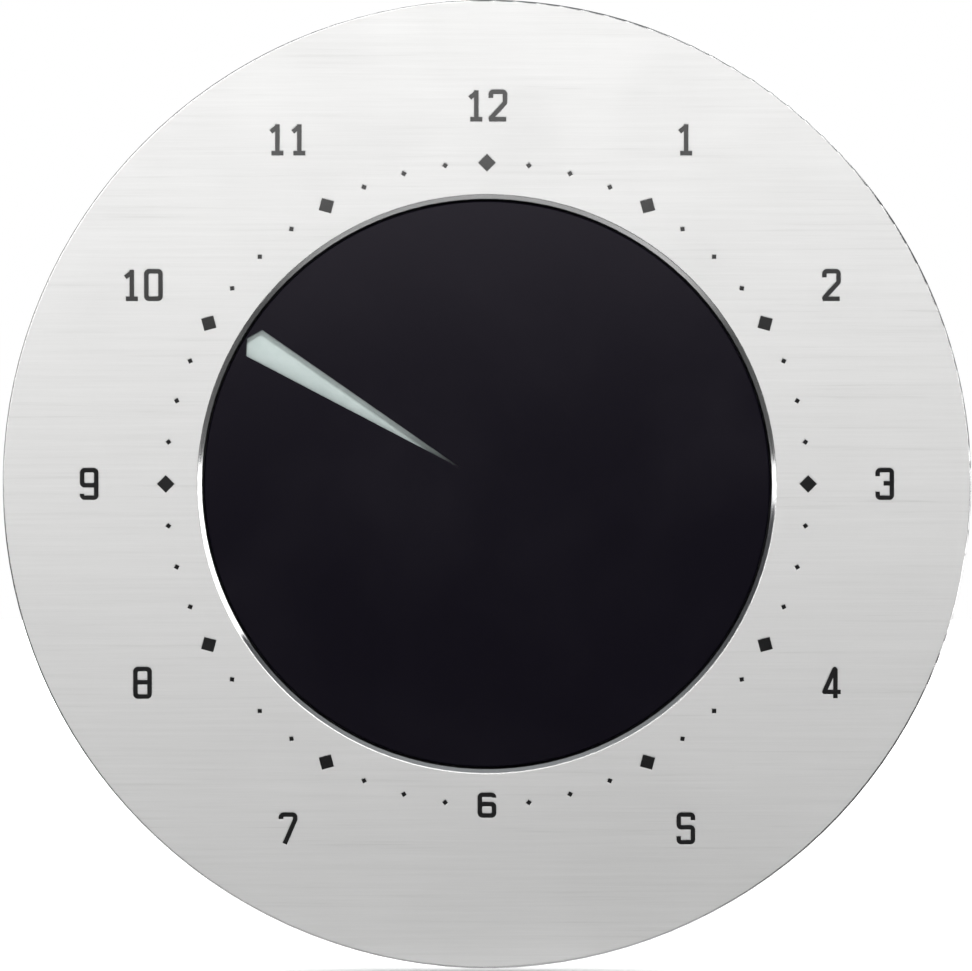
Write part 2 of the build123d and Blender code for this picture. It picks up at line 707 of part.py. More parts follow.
def battery_cup():
    cup = round_bar(cup_radius + CUP_WALL, cup_floor_front, step_front + 0.1, cell_place)
    return cup + round_bar(step_radius + CUP_WALL, step_front, rear_inner + 0.1, cell_place)


def battery_room():
    """What is open in the cup: the cell's room, the lugs' step, the opening and its notches."""
    room = round_bar(cup_radius, cup_floor_back, step_front + 1, cell_place)
    room += round_bar(step_radius, seal_front, rear_inner, cell_place)
    room += round_bar(cover_radius + COVER_GAP, rear_inner - 0.5, CASE_DEPTH + 1, cell_place)
    for lug in range(3):
        notch = sector(cover_radius - 1, step_radius, lug_direction(lug) - COVER_TURN, LUG_SWEEP + 5)
        room += at(cell_place, slab(notch, rear_inner - 0.5, CASE_DEPTH + 1))
    for cut in (negative_contact(0.25), positive_contact(0.25)):
        room += cut
    return room


def lug_direction(lug):
    return 90 + 120 * lug


def label_outline(grow=0.0):
    wide, high = LABEL_SIZE
    return at(LABEL_PLACE, RectangleRounded(wide + 2 * grow, high + 2 * grow, 1.6 + grow))


def triangle(size):
    return outline([(0, size), (-size * 0.8, -size * 0.6), (size * 0.8, -size * 0.6)])


def housing_marks():
    """A bar where the cover's arrow stands when it is locked, and a ring where it opens."""
    ring = step_radius + 2.0
    locked = along(ARROW_DIRECTION, ring, cell_place)
    opened = along(ARROW_DIRECTION - COVER_TURN, ring, cell_place)
    return [
        at(locked, Rot(0, 0, ARROW_DIRECTION) * RectangleRounded(0.7, 2.4, 0.3)),
        at(opened, Circle(1.0) - Circle(0.55)),
    ]


# ---------------------------------------------------------------- battery and its cover
def battery_cover():
    disc = round_bar(cover_radius, cover_front, CASE_DEPTH)
    disc = chamfer(disc.edges().filter_by(GeomType.CIRCLE).group_by(Axis.Z)[0], 0.3)
    skirt = tube(cover_radius, cell_radius + 0.7, lug_front, cover_front + 0.1)
    cover = disc + skirt
    for lug in range(3):
        shape = sector(cover_radius - 0.5, lug_radius, lug_direction(lug), LUG_SWEEP)
        cover += slab(shape, lug_front, lug_back)
    length, width, deep = COIN_SLOT
    cover -= slab(RectangleRounded(length, width, width * 0.45), CASE_DEPTH - deep, CASE_DEPTH + 1)
    arrow = Rot(0, 0, ARROW_DIRECTION - 90) * triangle(1.2)
    arrow = at(along(ARROW_DIRECTION, cover_radius - 2.6), arrow)
    cover -= slab(arrow, CASE_DEPTH - ARROW_DEPTH, CASE_DEPTH + 1)
    return at(cell_place, cover)


def cover_seal():
    return tube(cover_radius - 0.2, cell_radius + 0.9, seal_front, lug_front, cell_place)


def coin_cell_can():
    can = round_bar(cell_radius, cell_front + 0.25, cell_back)
    can = fillet(can.edges().filter_by(GeomType.CIRCLE).group_by(Axis.Z)[0], 0.4)
    return at(cell_place, can - round_bar(cell_radius - 0.9, cell_front, cell_front + 1.6))


def coin_cell_cap():
    cap = turned(
        (0, cell_front),
        (cell_radius - 2.3, cell_front),
        (cell_radius - 1.5, cell_front + 0.5),
        (cell_radius - 1.5, cell_front + 1.6),
        (0, cell_front + 1.6),
    )
    return at(cell_place, cap)


def cell_gasket():
    return tube(cell_radius - 0.9, cell_radius - 1.5, cell_front + 0.5, cell_front + 1.6, cell_place)


def negative_contact(grow=0.0):
    """Spring strip on the cup's floor, which leaves by the wall and stands up to the board."""
    start, end = cell_place[1] - 3.0, negative_end
    middle, length = (start + end) / 2, end - start
    strip = Pos(0, middle) * Rectangle(CONTACT_WIDTH + 2 * grow, length + 2 * grow)
    contact = slab(strip, cup_floor_back, cell_front + grow)
    if grow == 0:
        contact += slab(negative_leg(), cup_floor_back, board_back + 0.4)
    return contact


def negative_leg(room=0.0):
    leg = Rectangle(LEG_WIDTH + 2 * room, CONTACT_THICKNESS + 2 * room)
    return Pos(0, negative_end - CONTACT_THICKNESS / 2) * leg


def positive_contact(grow=0.0):
    """Spring leaf beside the can, with a tab that runs out under the step to the board."""
    tab_back = min(step_front, board_front) - 0.3
    inner, outer = cell_radius + 0.05, positive_end
    leaf = Rectangle(CONTACT_THICKNESS + 2 * grow, CONTACT_WIDTH + 2 * grow)
    shape = slab(Pos(inner + CONTACT_THICKNESS / 2, 0) * leaf, cell_front + 0.6, tab_back + grow)
    tab = Pos((inner + outer) / 2, 0) * Rectangle(outer - inner + 2 * grow, 3.0 + 2 * grow)
    shape += slab(tab, tab_back - CONTACT_THICKNESS - grow, tab_back + grow)
    if grow == 0:
        shape += slab(positive_leg(), tab_back - CONTACT_THICKNESS, board_back + 0.4)
    return at(cell_place, Rot(0, 0, CONTACT_DIRECTION) * shape)


def positive_leg(room=0.0):
    leg = Rectangle(CONTACT_THICKNESS + 2 * room, LEG_WIDTH + 2 * room)
    return Pos(positive_end - CONTACT_THICKNESS / 2, 0) * leg


def contact_holes():
    """The board's holes for the legs of both contacts."""
    positive = at(cell_place, Rot(0, 0, CONTACT_DIRECTION) * positive_leg(0.1))
    return slab(negative_leg(0.1) + positive, 0, CASE_DEPTH)


# ---------------------------------------------------------------- circuit board and its parts
def circuit_board():
    face = Circle(BOARD_RADIUS) - at(cell_place, Circle(step_radius + CUP_WALL + 0.8))
    face &= Pos(0, 100 + cell_place[1] * 0.45) * Rectangle(200, 200)
    board = slab(face, board_front, board_back)
    for place in BOARD_BOSSES:
        board -= round_bar(SMALL_SCREW_RADIUS + 0.15, 0, CASE_DEPTH, place)
    board -= round_bar(AXLE_RADIUS + 0.6, 0, CASE_DEPTH)
    return board - pin_holes() - contact_holes()


LEAD_STEP = 1.0
# Place, size, height and turn of the controller, the motion sensor and the clock.
CHIPS = [
    ((-6.0, 20.0), (7.0, 5.0), 1.1, 0.0),
    ((8.0, 14.0), (3.2, 3.0), 0.9, 0.0),
    ((17.0, 2.0), (5.0, 4.0), 1.1, 90.0),
]
# First place, step and number of each row of small components.
COMPONENT_ROWS = [
    ((-16.0, 25.5), (3.0, 0.0), 3),
    ((4.0, 24.5), (3.0, 0.0), 4),
    ((24.0, 8.0), (0.0, 3.0), 4),
    ((-14.0, -2.0), (0.0, 3.0), 3),
]


def chip(place, size, height, turn):
    """A flat package: its body and the row of leads on each of two sides."""
    wide, high = size
    body = slab(RectangleRounded(wide, high, 0.2), board_back + 0.1, board_back + height)
    count = int(wide / LEAD_STEP)
    leads = []
    for lead in range(count):
        across = (lead - (count - 1) / 2) * LEAD_STEP
        for side in (-1, 1):
            foot = Pos(across, side * (high / 2 + 0.3)) * Rectangle(0.4, 0.6)
            leads.append(slab(foot, board_back, board_back + 0.25))
    placed = [at(place, Rot(0, 0, turn) * shape) for shape in (body, *leads)]
    return placed[0], placed[1:]


def chips():
    """The chips' bodies and, apart from them, their leads."""
    made = [chip(*row) for row in CHIPS]
    return [body for body, _ in made], [lead for _, leads in made for lead in leads]


def clock_crystal():
    middle = board_back + 0.75
    can = Pos(-8.0, 9.0, -middle) * (Rot(0, 90, 0) * Cylinder(0.75, 6.0))
    return fillet(can.edges().filter_by(GeomType.CIRCLE), 0.15)


def small_components():
    """Chip capacitors and resistors in short rows."""
    places = [
        (first[0] + step[0] * i, first[1] + step[1] * i)
        for first, step, count in COMPONENT_ROWS
        for i in range(count)
    ]
    return [slab(at(place, Rectangle(1.6, 0.9)), board_back, board_back + 0.6) for place in places]


def tact_switch():
    body = slab(RectangleRounded(SWITCH_SIDE, SWITCH_SIDE, 0.3), board_back, switch_back)
    return at(BUTTON_PLACE, body - round_bar(1.15, switch_back - BUTTON_TRAVEL - 0.15, CASE_DEPTH))


def switch_plunger():
    return round_bar(1.05, switch_back - 0.08, button_pin_front, BUTTON_PLACE)


def set_button():
    button = turned(
        (0, button_pin_front),
        (1.3, button_pin_front),
        (1.3, button_flange_front),
        (BUTTON_RADIUS + 0.9, button_flange_front),
        (BUTTON_RADIUS + 0.9, button_flange_back),
        (BUTTON_RADIUS, button_flange_back),
        (BUTTON_RADIUS, CASE_DEPTH + BUTTON_PROUD - 0.4),
        (BUTTON_RADIUS - 0.4, CASE_DEPTH + BUTTON_PROUD),
        (BUTTON_RADIUS - 1.2, CASE_DEPTH + BUTTON_PROUD),
        (0, CASE_DEPTH + BUTTON_PROUD - 0.35),
    )
    return at(BUTTON_PLACE, button)


# ---------------------------------------------------------------- writing the parts
def main():
    os.makedirs("parts", exist_ok=True)
    plate, markings = dial_plate_and_markings()
    save("dial_plate", plate)
    save("dial_markings", *markings)
    save("plate_tape", plate_tape())
    save("front_housing", front_housing())
    save("case_gasket", seal_ring(0.05))

    save("time_disc", time_disc())
    save("luminous_hand", luminous_hand())
    save("disc_axle", disc_axle())
    save("disc_gear", disc_gear())
    save("axle_bush", axle_bush())

    save("idler_wheel", idler_wheel())
    save("idler_pinion", idler_pinion())
    save("idler_arbor", arbor(idler_place))
    save("motor_pinion", motor_pinion())
    save("motor_arbor", arbor(motor_place))
    save("rotor_magnet", rotor_magnet())
    save("stator_plate", stator_plate())
    save("coil_core", coil_core())
    save("coil_bobbin", coil_bobbin())
    save("coil_winding", coil_winding())
    save("coil_pins", *coil_pins())
    save("gear_bridge", gear_bridge())

    save("bridge_screws", *[small_screw(place, bridge_back, 3.0) for place in PILLARS])
    save("board_screws", *[small_screw(place, board_back, 3.2) for place in BOARD_BOSSES])
    coil_screws = [small_screw(coil_screw_place(side), core_back, 2.3) for side in (-1, 1)]
    save("coil_screws", *coil_screws)
    sizes = (SCREW_RADIUS, SCREW_HEAD_RADIUS, SCREW_HEAD_HEIGHT)
    length = screw_seat - flange_back - 1.6
    save("case_screws", *[screw(place, screw_seat, length, *sizes) for place in CASE_SCREWS])

    save("circuit_board", circuit_board())
    bodies, leads = chips()
    save("control_chip", bodies[0])
    save("motion_sensor", bodies[1])
    save("clock_chip", bodies[2])
    save("chip_leads", *leads)
    save("clock_crystal", clock_crystal())
    save("small_components", *small_components())
    save("tact_switch", tact_switch())
    save("switch_plunger", switch_plunger())
    save("set_button", set_button())

    save("coin_cell_can", coin_cell_can())
    save("coin_cell_cap", coin_cell_cap())
    save("cell_gasket", cell_gasket())
    save("negative_contact", negative_contact())
    save("positive_contact", positive_contact())
    save("battery_cover", battery_cover())
    save("cover_seal", cover_seal())
    save("rear_shell", rear_shell())
    save("rear_label", slab(label_outline(), CASE_DEPTH - LABEL_SINK, CASE_DEPTH - 0.1))


main()
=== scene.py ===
"""Electronic parking disc: finishes, light and camera for the packed model."""

import math

import bpy
from bpy.props import FloatProperty, FloatVectorProperty, PointerProperty
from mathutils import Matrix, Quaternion, Vector


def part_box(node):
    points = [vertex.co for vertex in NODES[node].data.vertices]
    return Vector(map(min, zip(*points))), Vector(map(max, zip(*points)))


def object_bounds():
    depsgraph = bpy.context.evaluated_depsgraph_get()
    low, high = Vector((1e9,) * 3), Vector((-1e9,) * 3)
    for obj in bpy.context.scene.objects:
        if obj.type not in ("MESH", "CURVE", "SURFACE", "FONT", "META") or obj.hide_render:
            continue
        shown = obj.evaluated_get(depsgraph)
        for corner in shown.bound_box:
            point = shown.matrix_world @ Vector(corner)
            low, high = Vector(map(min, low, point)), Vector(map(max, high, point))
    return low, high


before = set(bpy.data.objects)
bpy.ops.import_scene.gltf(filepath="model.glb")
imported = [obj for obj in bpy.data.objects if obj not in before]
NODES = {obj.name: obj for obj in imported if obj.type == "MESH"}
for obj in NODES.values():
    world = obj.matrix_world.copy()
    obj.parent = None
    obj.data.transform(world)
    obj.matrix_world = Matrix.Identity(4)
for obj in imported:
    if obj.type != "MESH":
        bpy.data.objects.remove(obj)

bl_info = {
    "name": "Electronic parking disc",
    "version": (1, 0, 0),
    "blender": (4, 5, 0),
    "location": "3D View > Sidebar > Parking Disc",
    "description": "Finishes, light and camera for a round electronic parking disc",
    "category": "Object",
}

MM = 0.001
PLATE_LOW, PLATE_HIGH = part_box("dial_plate")
DISC_LOW, DISC_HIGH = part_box("time_disc")
WHOLE_LOW, WHOLE_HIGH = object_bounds()
FRONT = (0.0, -1.0, 0.0)
FLAT = (1.0, 0.0, 1.0)  # takes the depth out of a place

# What dust looks like on each kind of surface.
DUST_ON_METAL = (0.45, 0.44, 0.42)
DUST_ON_DISC = (0.10, 0.10, 0.10)
DUST_ON_PLASTIC = (0.20, 0.19, 0.18)
DUST_ON_RUBBER = (0.22, 0.21, 0.20)

# How fine dust's specks and clouds are, and the filling's clouds, in waves per metre.
DUST_SPECKS = 5200.0
DUST_CLOUDS = 170.0
FILLING_CLOUDS = 480.0
SMEAR_BEND = (0.02, 0.02, 0.02)  # how far clouds of chance bend a smear, in metres

# The polished zones of the plate fade in over these widths.
BEVEL_FADE = 0.05 * MM
RIM_FADE = 0.03 * MM
# Finer hairs lie between the brushed lines, this much shorter and narrower.
HAIR_LENGTH = 0.4
HAIR_WIDTH = 0.35
LAYERS = 300.0  # steps per metre of depth at which the brushed lines change

TRACK_CELLS = 430.0  # copper areas of the board, in cells per metre
CLOTH_THREADS = 9000.0  # waves of the board's glass cloth, in radians per metre
WIRE = 0.09 * MM  # diameter of the wound wire


def radius_of(low, high):
    """Half the width of a round piece."""
    return (high.x - low.x) / 2


def middle_of(node):
    """The middle of a node's box."""
    low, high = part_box(node)
    return (low + high) / 2


# ---------------------------------------------------------------- sizes and colours


def colour(name, description, default):
    """A colour a user may change."""
    return FloatVectorProperty(
        name=name,
        description=description,
        subtype="COLOR",
        size=3,
        min=0.0,
        max=1.0,
        default=default,
    )


def length(name, description, default, low=1e-6, high=10.0):
    """A length in metres a user may change."""
    return FloatProperty(
        name=name,
        description=description,
        subtype="DISTANCE",
        unit="LENGTH",
        min=low,
        max=high,
        precision=5,
        default=default,
    )


def share(name, description, default):
    """A number from nought to one a user may change."""
    return FloatProperty(
        name=name,
        description=description,
        subtype="FACTOR",
        min=0.0,
        max=1.0,
        default=default,
    )


class PARKINGDISC_PG_plate(bpy.types.PropertyGroup):
    """The brushed face plate and what is printed on it."""

    metal: colour("Plate metal", "Colour of the brushed steel", (0.515, 0.515, 0.515))
    stroke_length: length("Stroke length", "How long the brushed lines run", 26 * MM)
    stroke_width: length("Stroke width", "How wide the plain brushed lines are", 0.42 * MM)
    stroke_depth: length("Stroke depth", "How deep the brushed lines are", 0.0016 * MM)
    brushed: share("Brushed roughness", "How much the brushing blurs what it mirrors", 0.335)
    polished: share("Polished roughness", "How much the bevel and the rim blur", 0.10)
    polish: colour("Polished metal", "Colour of the bevel and the rim", (0.70, 0.70, 0.70))
    bevel_radius: length("Bevel radius", "Where the polished bevel round the window starts",
                         radius_of(DISC_LOW, DISC_HIGH) + 0.65 * MM)
    rim_width: length("Rim width", "How wide the polished outer rim is", 0.18 * MM)
    edge_round: length("Edge rounding", "How far polishing rounds the bevel's edges", 0.16 * MM)
    ink: colour("Marking ink", "Colour of the numerals and marks", (0.0030, 0.0030, 0.0032))
    ink_gloss: share("Ink roughness", "How much the ink blurs what it mirrors", 0.14)


class PARKINGDISC_PG_dial(bpy.types.PropertyGroup):
    """The turning disc and its hand."""

    disc: colour("Disc", "Colour of the turning disc", (0.0017, 0.0013, 0.0030))
    disc_blur: share("Disc roughness", "How satin the disc is", 0.19)
    disc_grain: length("Disc grain", "Size of the disc's fine grain", 0.09 * MM)
    hand: colour("Hand", "Colour of the luminous filling", (0.335, 0.39, 0.378))
    hand_grain: length("Hand grain", "Size of the grains in the luminous filling", 0.12 * MM)


class PARKINGDISC_PG_case(bpy.types.PropertyGroup):
    """The moulded case, its cover, button, screws and label."""

    shell: colour("Case", "Colour of the moulded case", (0.013, 0.013, 0.014))
    shell_grain: length("Case grain", "Size of the moulded grain", 0.22 * MM)
    shell_depth: length("Case grain depth", "Depth of the moulded grain", 0.016 * MM)
    cover_grain: length("Cover grain", "Size of the battery cover's grain", 0.16 * MM)
    button: colour("Button", "Colour of the set button", (0.030, 0.031, 0.034))
    screw: colour("Case screws", "Colour of the blackened screws", (0.045, 0.043, 0.045))
    label: colour("Label", "Colour of the blank label", (0.38, 0.39, 0.40))


class PARKINGDISC_PG_works(bpy.types.PropertyGroup):
    """What the case holds."""

    gear: colour("Wheels", "Colour of the moulded wheels", (0.78, 0.77, 0.72))
    pinion: colour("Pinions", "Colour of the moulded pinions", (0.05, 0.16, 0.42))
    board: colour("Board", "Colour of the circuit board", (0.010, 0.085, 0.035))
    steel: colour("Steel", "Colour of bright steel pieces", (0.62, 0.62, 0.61))
    copper: colour("Wire", "Colour of the wound wire", (0.64, 0.25, 0.11))
    brass: colour("Brass", "Colour of the brass bush", (0.72, 0.52, 0.24))


class PARKINGDISC_PG_stage(bpy.types.PropertyGroup):
    """Camera, light and floor."""

    distance: length("Camera distance", "From the camera to the plate", 0.45)
    view_width: length("View width", "Width of the view at the plate", 100.31 * MM)
    shift_x: length("Camera sideways", "Camera to the side of the middle", -0.10 * MM, -1.0)
    shift_z: length("Camera up", "Camera above the middle", -0.16 * MM, -1.0)
    floor: colour("Floor", "Colour of the floor", (0.88, 0.88, 0.88))
    air: colour("Air", "Colour of the light from all round", (0.09, 0.092, 0.098))
    ceiling: colour("Ceiling", "Colour of the light from straight above", (0.33, 0.345, 0.355))
    backdrop: colour("Backdrop", "Colour behind the object", (1.0, 1.0, 1.0))


SETTINGS = {
    "parking_disc_plate": PARKINGDISC_PG_plate,
    "parking_disc_dial": PARKINGDISC_PG_dial,
    "parking_disc_case": PARKINGDISC_PG_case,
    "parking_disc_works": PARKINGDISC_PG_works,
    "parking_disc_stage": PARKINGDISC_PG_stage,
}


# ---------------------------------------------------------------- wiring nodes


class Wiring:
    """Adds and joins the nodes of one tree."""

    def __init__(self, tree):
        self.tree = tree

    def node(self, kind, sockets=None, **settings):
        """A new node with its own settings, its sockets fed with values or links."""
        node = self.tree.nodes.new(kind)
        for name, value in settings.items():
            setattr(node, name, value)
        for name, value in (sockets or {}).items():
            self.feed(node.inputs[name], value)
        return node

    def feed(self, socket, value):
        """A link where value is another node's socket, and else the value itself."""
        if isinstance(value, bpy.types.NodeSocket):
            self.tree.links.new(value, socket)
        elif getattr(socket, "type", "") == "RGBA" and len(value) == 3:
            socket.default_value = (*value, 1.0)
        else:
            socket.default_value = value

    def sum_of(self, operation, first, second=0.0, third=0.0, clamp=False):
        """One sum on plain numbers."""
        sockets = {0: first, 1: second, 2: third}
        return self.node("ShaderNodeMath", sockets, operation=operation, use_clamp=clamp).outputs[0]

    def vector_sum(self, operation, first, second=(0.0, 0.0, 0.0), out="Vector"):
        """One sum on vectors."""
        node = self.node("ShaderNodeVectorMath", {0: first, 1: second}, operation=operation)
        return node.outputs[out]

    def spread(self, value, low, high, to_low=0.0, to_high=1.0, smooth=False):
        """value moved from one range to another and kept inside it."""
        sockets = {"Value": value, "From Min": low, "From Max": high,
                   "To Min": to_low, "To Max": to_high}
        kind = "SMOOTHSTEP" if smooth else "LINEAR"
        return self.node("ShaderNodeMapRange", sockets, interpolation_type=kind).outputs[0]

    def blend(self, mask, first, second):
        """One colour laid over another where the mask is one."""
        node = self.node("ShaderNodeMix", data_type="RGBA", blend_type="MIX")
        self.feed(node.inputs[0], mask)
        self.feed(node.inputs[6], first)
        self.feed(node.inputs[7], second)
        return node.outputs[2]

    def lay(self, mask, amount, first, second):
        """One colour laid over another, as strongly as the mask times amount."""
        return self.blend(self.sum_of("MULTIPLY", mask, amount), first, second)

    def noise(self, vector, scale=1.0, detail=2.0, rough=0.5, out=0):
        """Smooth chance values."""
        sockets = {"Vector": vector, "Scale": scale, "Detail": detail, "Roughness": rough}
        return self.node("ShaderNodeTexNoise", sockets).outputs[out]

    def parts(self, vector):
        """The three numbers of a vector."""
        return self.node("ShaderNodeSeparateXYZ", {0: vector}).outputs

    def joined(self, x, y, z):
        """A vector of three numbers."""
        return self.node("ShaderNodeCombineXYZ", {0: x, 1: y, 2: z}).outputs[0]

    def place(self):
        """The place on the object, in metres."""
        return self.node("ShaderNodeTexCoord").outputs["Object"]

    def radius(self, place, middle=(0.0, 0.0, 0.0)):
        """How far a place is from an axis that runs from front to back."""
        moved = self.vector_sum("SUBTRACT", place, tuple(middle))
        flat = self.vector_sum("MULTIPLY", moved, FLAT)
        return self.vector_sum("LENGTH", flat, out="Value")

    def relief(self, height, depth, normal=None):
        """A normal that stands for a fine relief of that depth."""
        sockets = {"Height": height, "Distance": depth, "Strength": 1.0}
        if normal is not None:
            sockets["Normal"] = normal
        return self.node("ShaderNodeBump", sockets).outputs[0]

    def shared(self, effect, **sockets):
        """One of the shared effects, with this material's own values."""
        node = self.tree.nodes.new("ShaderNodeGroup")
        node.node_tree = effect()
        for name, value in sockets.items():
            self.feed(node.inputs[name.replace("_", " ").capitalize()], value)
        return node.outputs


def effect_tree(name, takes, gives, build):
    """A shared node group, built the first time it is asked for."""
    tree = bpy.data.node_groups.get(name)
    if tree is not None:
        return tree
    tree = bpy.data.node_groups.new(name, "ShaderNodeTree")
    for label, value in takes.items():
        is_vector = value is None
        kind = "NodeSocketVector" if is_vector else "NodeSocketFloat"
        socket = tree.interface.new_socket(label, in_out="INPUT", socket_type=kind)
        if not is_vector:
            socket.default_value = value
    for label, kind in gives.items():
        tree.interface.new_socket(label, in_out="OUTPUT", socket_type=kind)
    wiring = Wiring(tree)
    taken = tree.nodes.new("NodeGroupInput").outputs
    given = tree.nodes.new("NodeGroupOutput").inputs
    build(wiring, taken, given)
    return tree


FLOAT, VECTOR = "NodeSocketFloat", "NodeSocketVector"


def stroke_lines():
    """Lines brushed along X, of chance width, length and depth."""

    def build(wiring, taken, given):
        x, y, z = wiring.parts(taken["Place"])
        along = wiring.sum_of("DIVIDE", x, taken["Length"])
        across = wiring.sum_of("DIVIDE", z, taken["Width"])
        layer = wiring.sum_of("ADD", taken["Seed"], wiring.sum_of("MULTIPLY", y, LAYERS))
        stretched = wiring.joined(along, layer, across)
        fine = wiring.noise(stretched, 1.0, 4.0, 0.72)
        moved = wiring.vector_sum("ADD", stretched, (7.3, 4.1, 31.7))
        groups = wiring.noise(moved, 0.23, 2.0, 0.5)
        deep = wiring.spread(groups, 0.42, 0.70)
        wiring.feed(given["Height"], fine)
        shade = wiring.spread(fine, 0.30, 0.70)
        wiring.feed(given["Tone"], shade)
        cut = wiring.spread(fine, 0.42, 0.30)
        wiring.feed(given["Cuts"], wiring.sum_of("MULTIPLY", cut, deep))

    takes = {"Place": None, "Length": 0.02, "Width": 0.0003, "Seed": 0.0}
    gives = {"Height": FLOAT, "Tone": FLOAT, "Cuts": FLOAT}
    return effect_tree("Stroke lines", takes, gives, build)


def turned_lines():
    """Rings a lathe leaves about an axis that runs from front to back."""

    def build(wiring, taken, given):
        moved = wiring.vector_sum("SUBTRACT", taken["Place"], taken["Middle"])
        flat = wiring.vector_sum("MULTIPLY", moved, FLAT)
        radius = wiring.vector_sum("LENGTH", flat, out="Value")
        step = wiring.sum_of("DIVIDE", radius, taken["Pitch"])
        sockets = {"W": step, "Scale": 1.0, "Detail": 3.0, "Roughness": 0.7}
        rings = wiring.node("ShaderNodeTexNoise", sockets, noise_dimensions="1D").outputs[0]
        wiring.feed(given["Height"], rings)
        wiring.feed(given["Tone"], wiring.spread(rings, 0.35, 0.65))

    takes = {"Place": None, "Middle": None, "Pitch": 0.0002}
    return effect_tree("Turned lines", takes, {"Height": FLOAT, "Tone": FLOAT}, build)


def moulded_grain():
    """The fine spark-worn grain of a steel mould, as it shows on plastic."""

    def build(wiring, taken, given):
        scale = wiring.sum_of("DIVIDE", 1.0, taken["Size"])
        coarse = wiring.noise(taken["Place"], scale, 3.0, 0.6)
        fine = wiring.noise(taken["Place"], wiring.sum_of("MULTIPLY", scale, 2.7), 2.0, 0.5)
        both = wiring.sum_of("MULTIPLY_ADD", fine, 0.45, coarse)
        wiring.feed(given["Height"], both)
        wiring.feed(given["Tone"], wiring.spread(both, 0.55, 0.95))

    takes = {"Place": None, "Size": 0.0002}
    return effect_tree("Moulded grain", takes, {"Height": FLOAT, "Tone": FLOAT}, build)


def edge_wear():
    """Where sharp edges are rubbed, and a normal that rounds them a little."""

    def build(wiring, taken, given):
        rounded = wiring.node("ShaderNodeBevel", {"Radius": taken["Reach"]}, samples=4).outputs[0]
        straight = wiring.node("ShaderNodeNewGeometry").outputs["Normal"]
        likeness = wiring.vector_sum("DOT_PRODUCT", rounded, straight, out="Value")
        edge = wiring.spread(likeness, 0.995, 0.86)
        chance = wiring.noise(taken["Place"], taken["Patches"], 3.0, 0.65)
        broken = wiring.spread(chance, 0.36, 0.62)
        worn = wiring.sum_of("MULTIPLY", edge, broken)
        wiring.feed(given["Mask"], wiring.sum_of("MULTIPLY", worn, taken["Amount"]))
        wiring.feed(given["Soft normal"], rounded)

    takes = {"Place": None, "Reach": 0.0002, "Patches": 900.0, "Amount": 1.0}
    return effect_tree("Edge wear", takes, {"Mask": FLOAT, "Soft normal": VECTOR}, build)


def handling():
    """Faint smears of fingers, and dust that lies on what faces up."""

    def build(wiring, taken, given):
        smear_scale = wiring.sum_of("DIVIDE", 1.0, taken["Smear size"])
        wide_scale = wiring.sum_of("MULTIPLY", smear_scale, 0.5)
        bent = wiring.noise(taken["Place"], wide_scale, 2.0, 0.5, "Color")
        bent = wiring.vector_sum("MULTIPLY", bent, SMEAR_BEND)
        smeared = wiring.vector_sum("ADD", taken["Place"], bent)
        smears = wiring.spread(wiring.noise(smeared, smear_scale, 3.0, 0.6), 0.42, 0.68)
        wiring.feed(given["Smears"], smears)
        up = wiring.parts(wiring.node("ShaderNodeNewGeometry").outputs["Normal"])[2]
        level = wiring.spread(up, 0.25, 0.95)
        specks = wiring.spread(wiring.noise(taken["Place"], DUST_SPECKS, 2.0, 0.7), 0.55, 0.72)
        cloud = wiring.spread(wiring.noise(taken["Place"], DUST_CLOUDS, 2.0, 0.5), 0.35, 0.75)
        dust = wiring.sum_of("MULTIPLY_ADD", specks, 0.75, wiring.sum_of("MULTIPLY", cloud, 0.25))
        dust = wiring.sum_of("MULTIPLY", dust, level)
        wiring.feed(given["Dust"], wiring.sum_of("MULTIPLY", dust, taken["Dustiness"]))

    takes = {"Place": None, "Smear size": 0.012, "Dustiness": 0.3}
    return effect_tree("Handling", takes, {"Smears": FLOAT, "Dust": FLOAT}, build)


# ---------------------------------------------------------------- finishes


class Finish(Wiring):
    """One material and its shader, ready for the nodes that give it its look."""

    def __init__(self, name, **constants):
        material = bpy.data.materials.new(name)
        material.use_nodes = True
        super().__init__(material.node_tree)
        self.material = material
        self.shader = next(n for n in self.tree.nodes if n.type == "BSDF_PRINCIPLED")
        for name, value in constants.items():
            socket = name.replace("_", " ").title().replace("Ior", "IOR")
            self.feed(self.shader.inputs[socket], value)
        self.at = self.place()

    def show(self, colour=None, roughness=None, normal=None, metallic=None, coat=None):
        """Feeds the shader's own sockets."""
        wanted = {"Base Color": colour, "Roughness": roughness, "Normal": normal,
                  "Metallic": metallic, "Coat Weight": coat}
        for socket, value in wanted.items():
            if value is not None:
                self.feed(self.shader.inputs[socket], value)
        return self.material


def dress(material, *nodes):
    """Gives CAD nodes a finish."""
    for name in nodes:
        slots = NODES[name].material_slots
        if not slots:
            raise RuntimeError(f"{name} has no material slot")
        for slot in slots:
            slot.material = material


def scaled(colour, factor):
    """A colour made lighter or darker."""
    return tuple(min(1.0, part * factor) for part in colour)


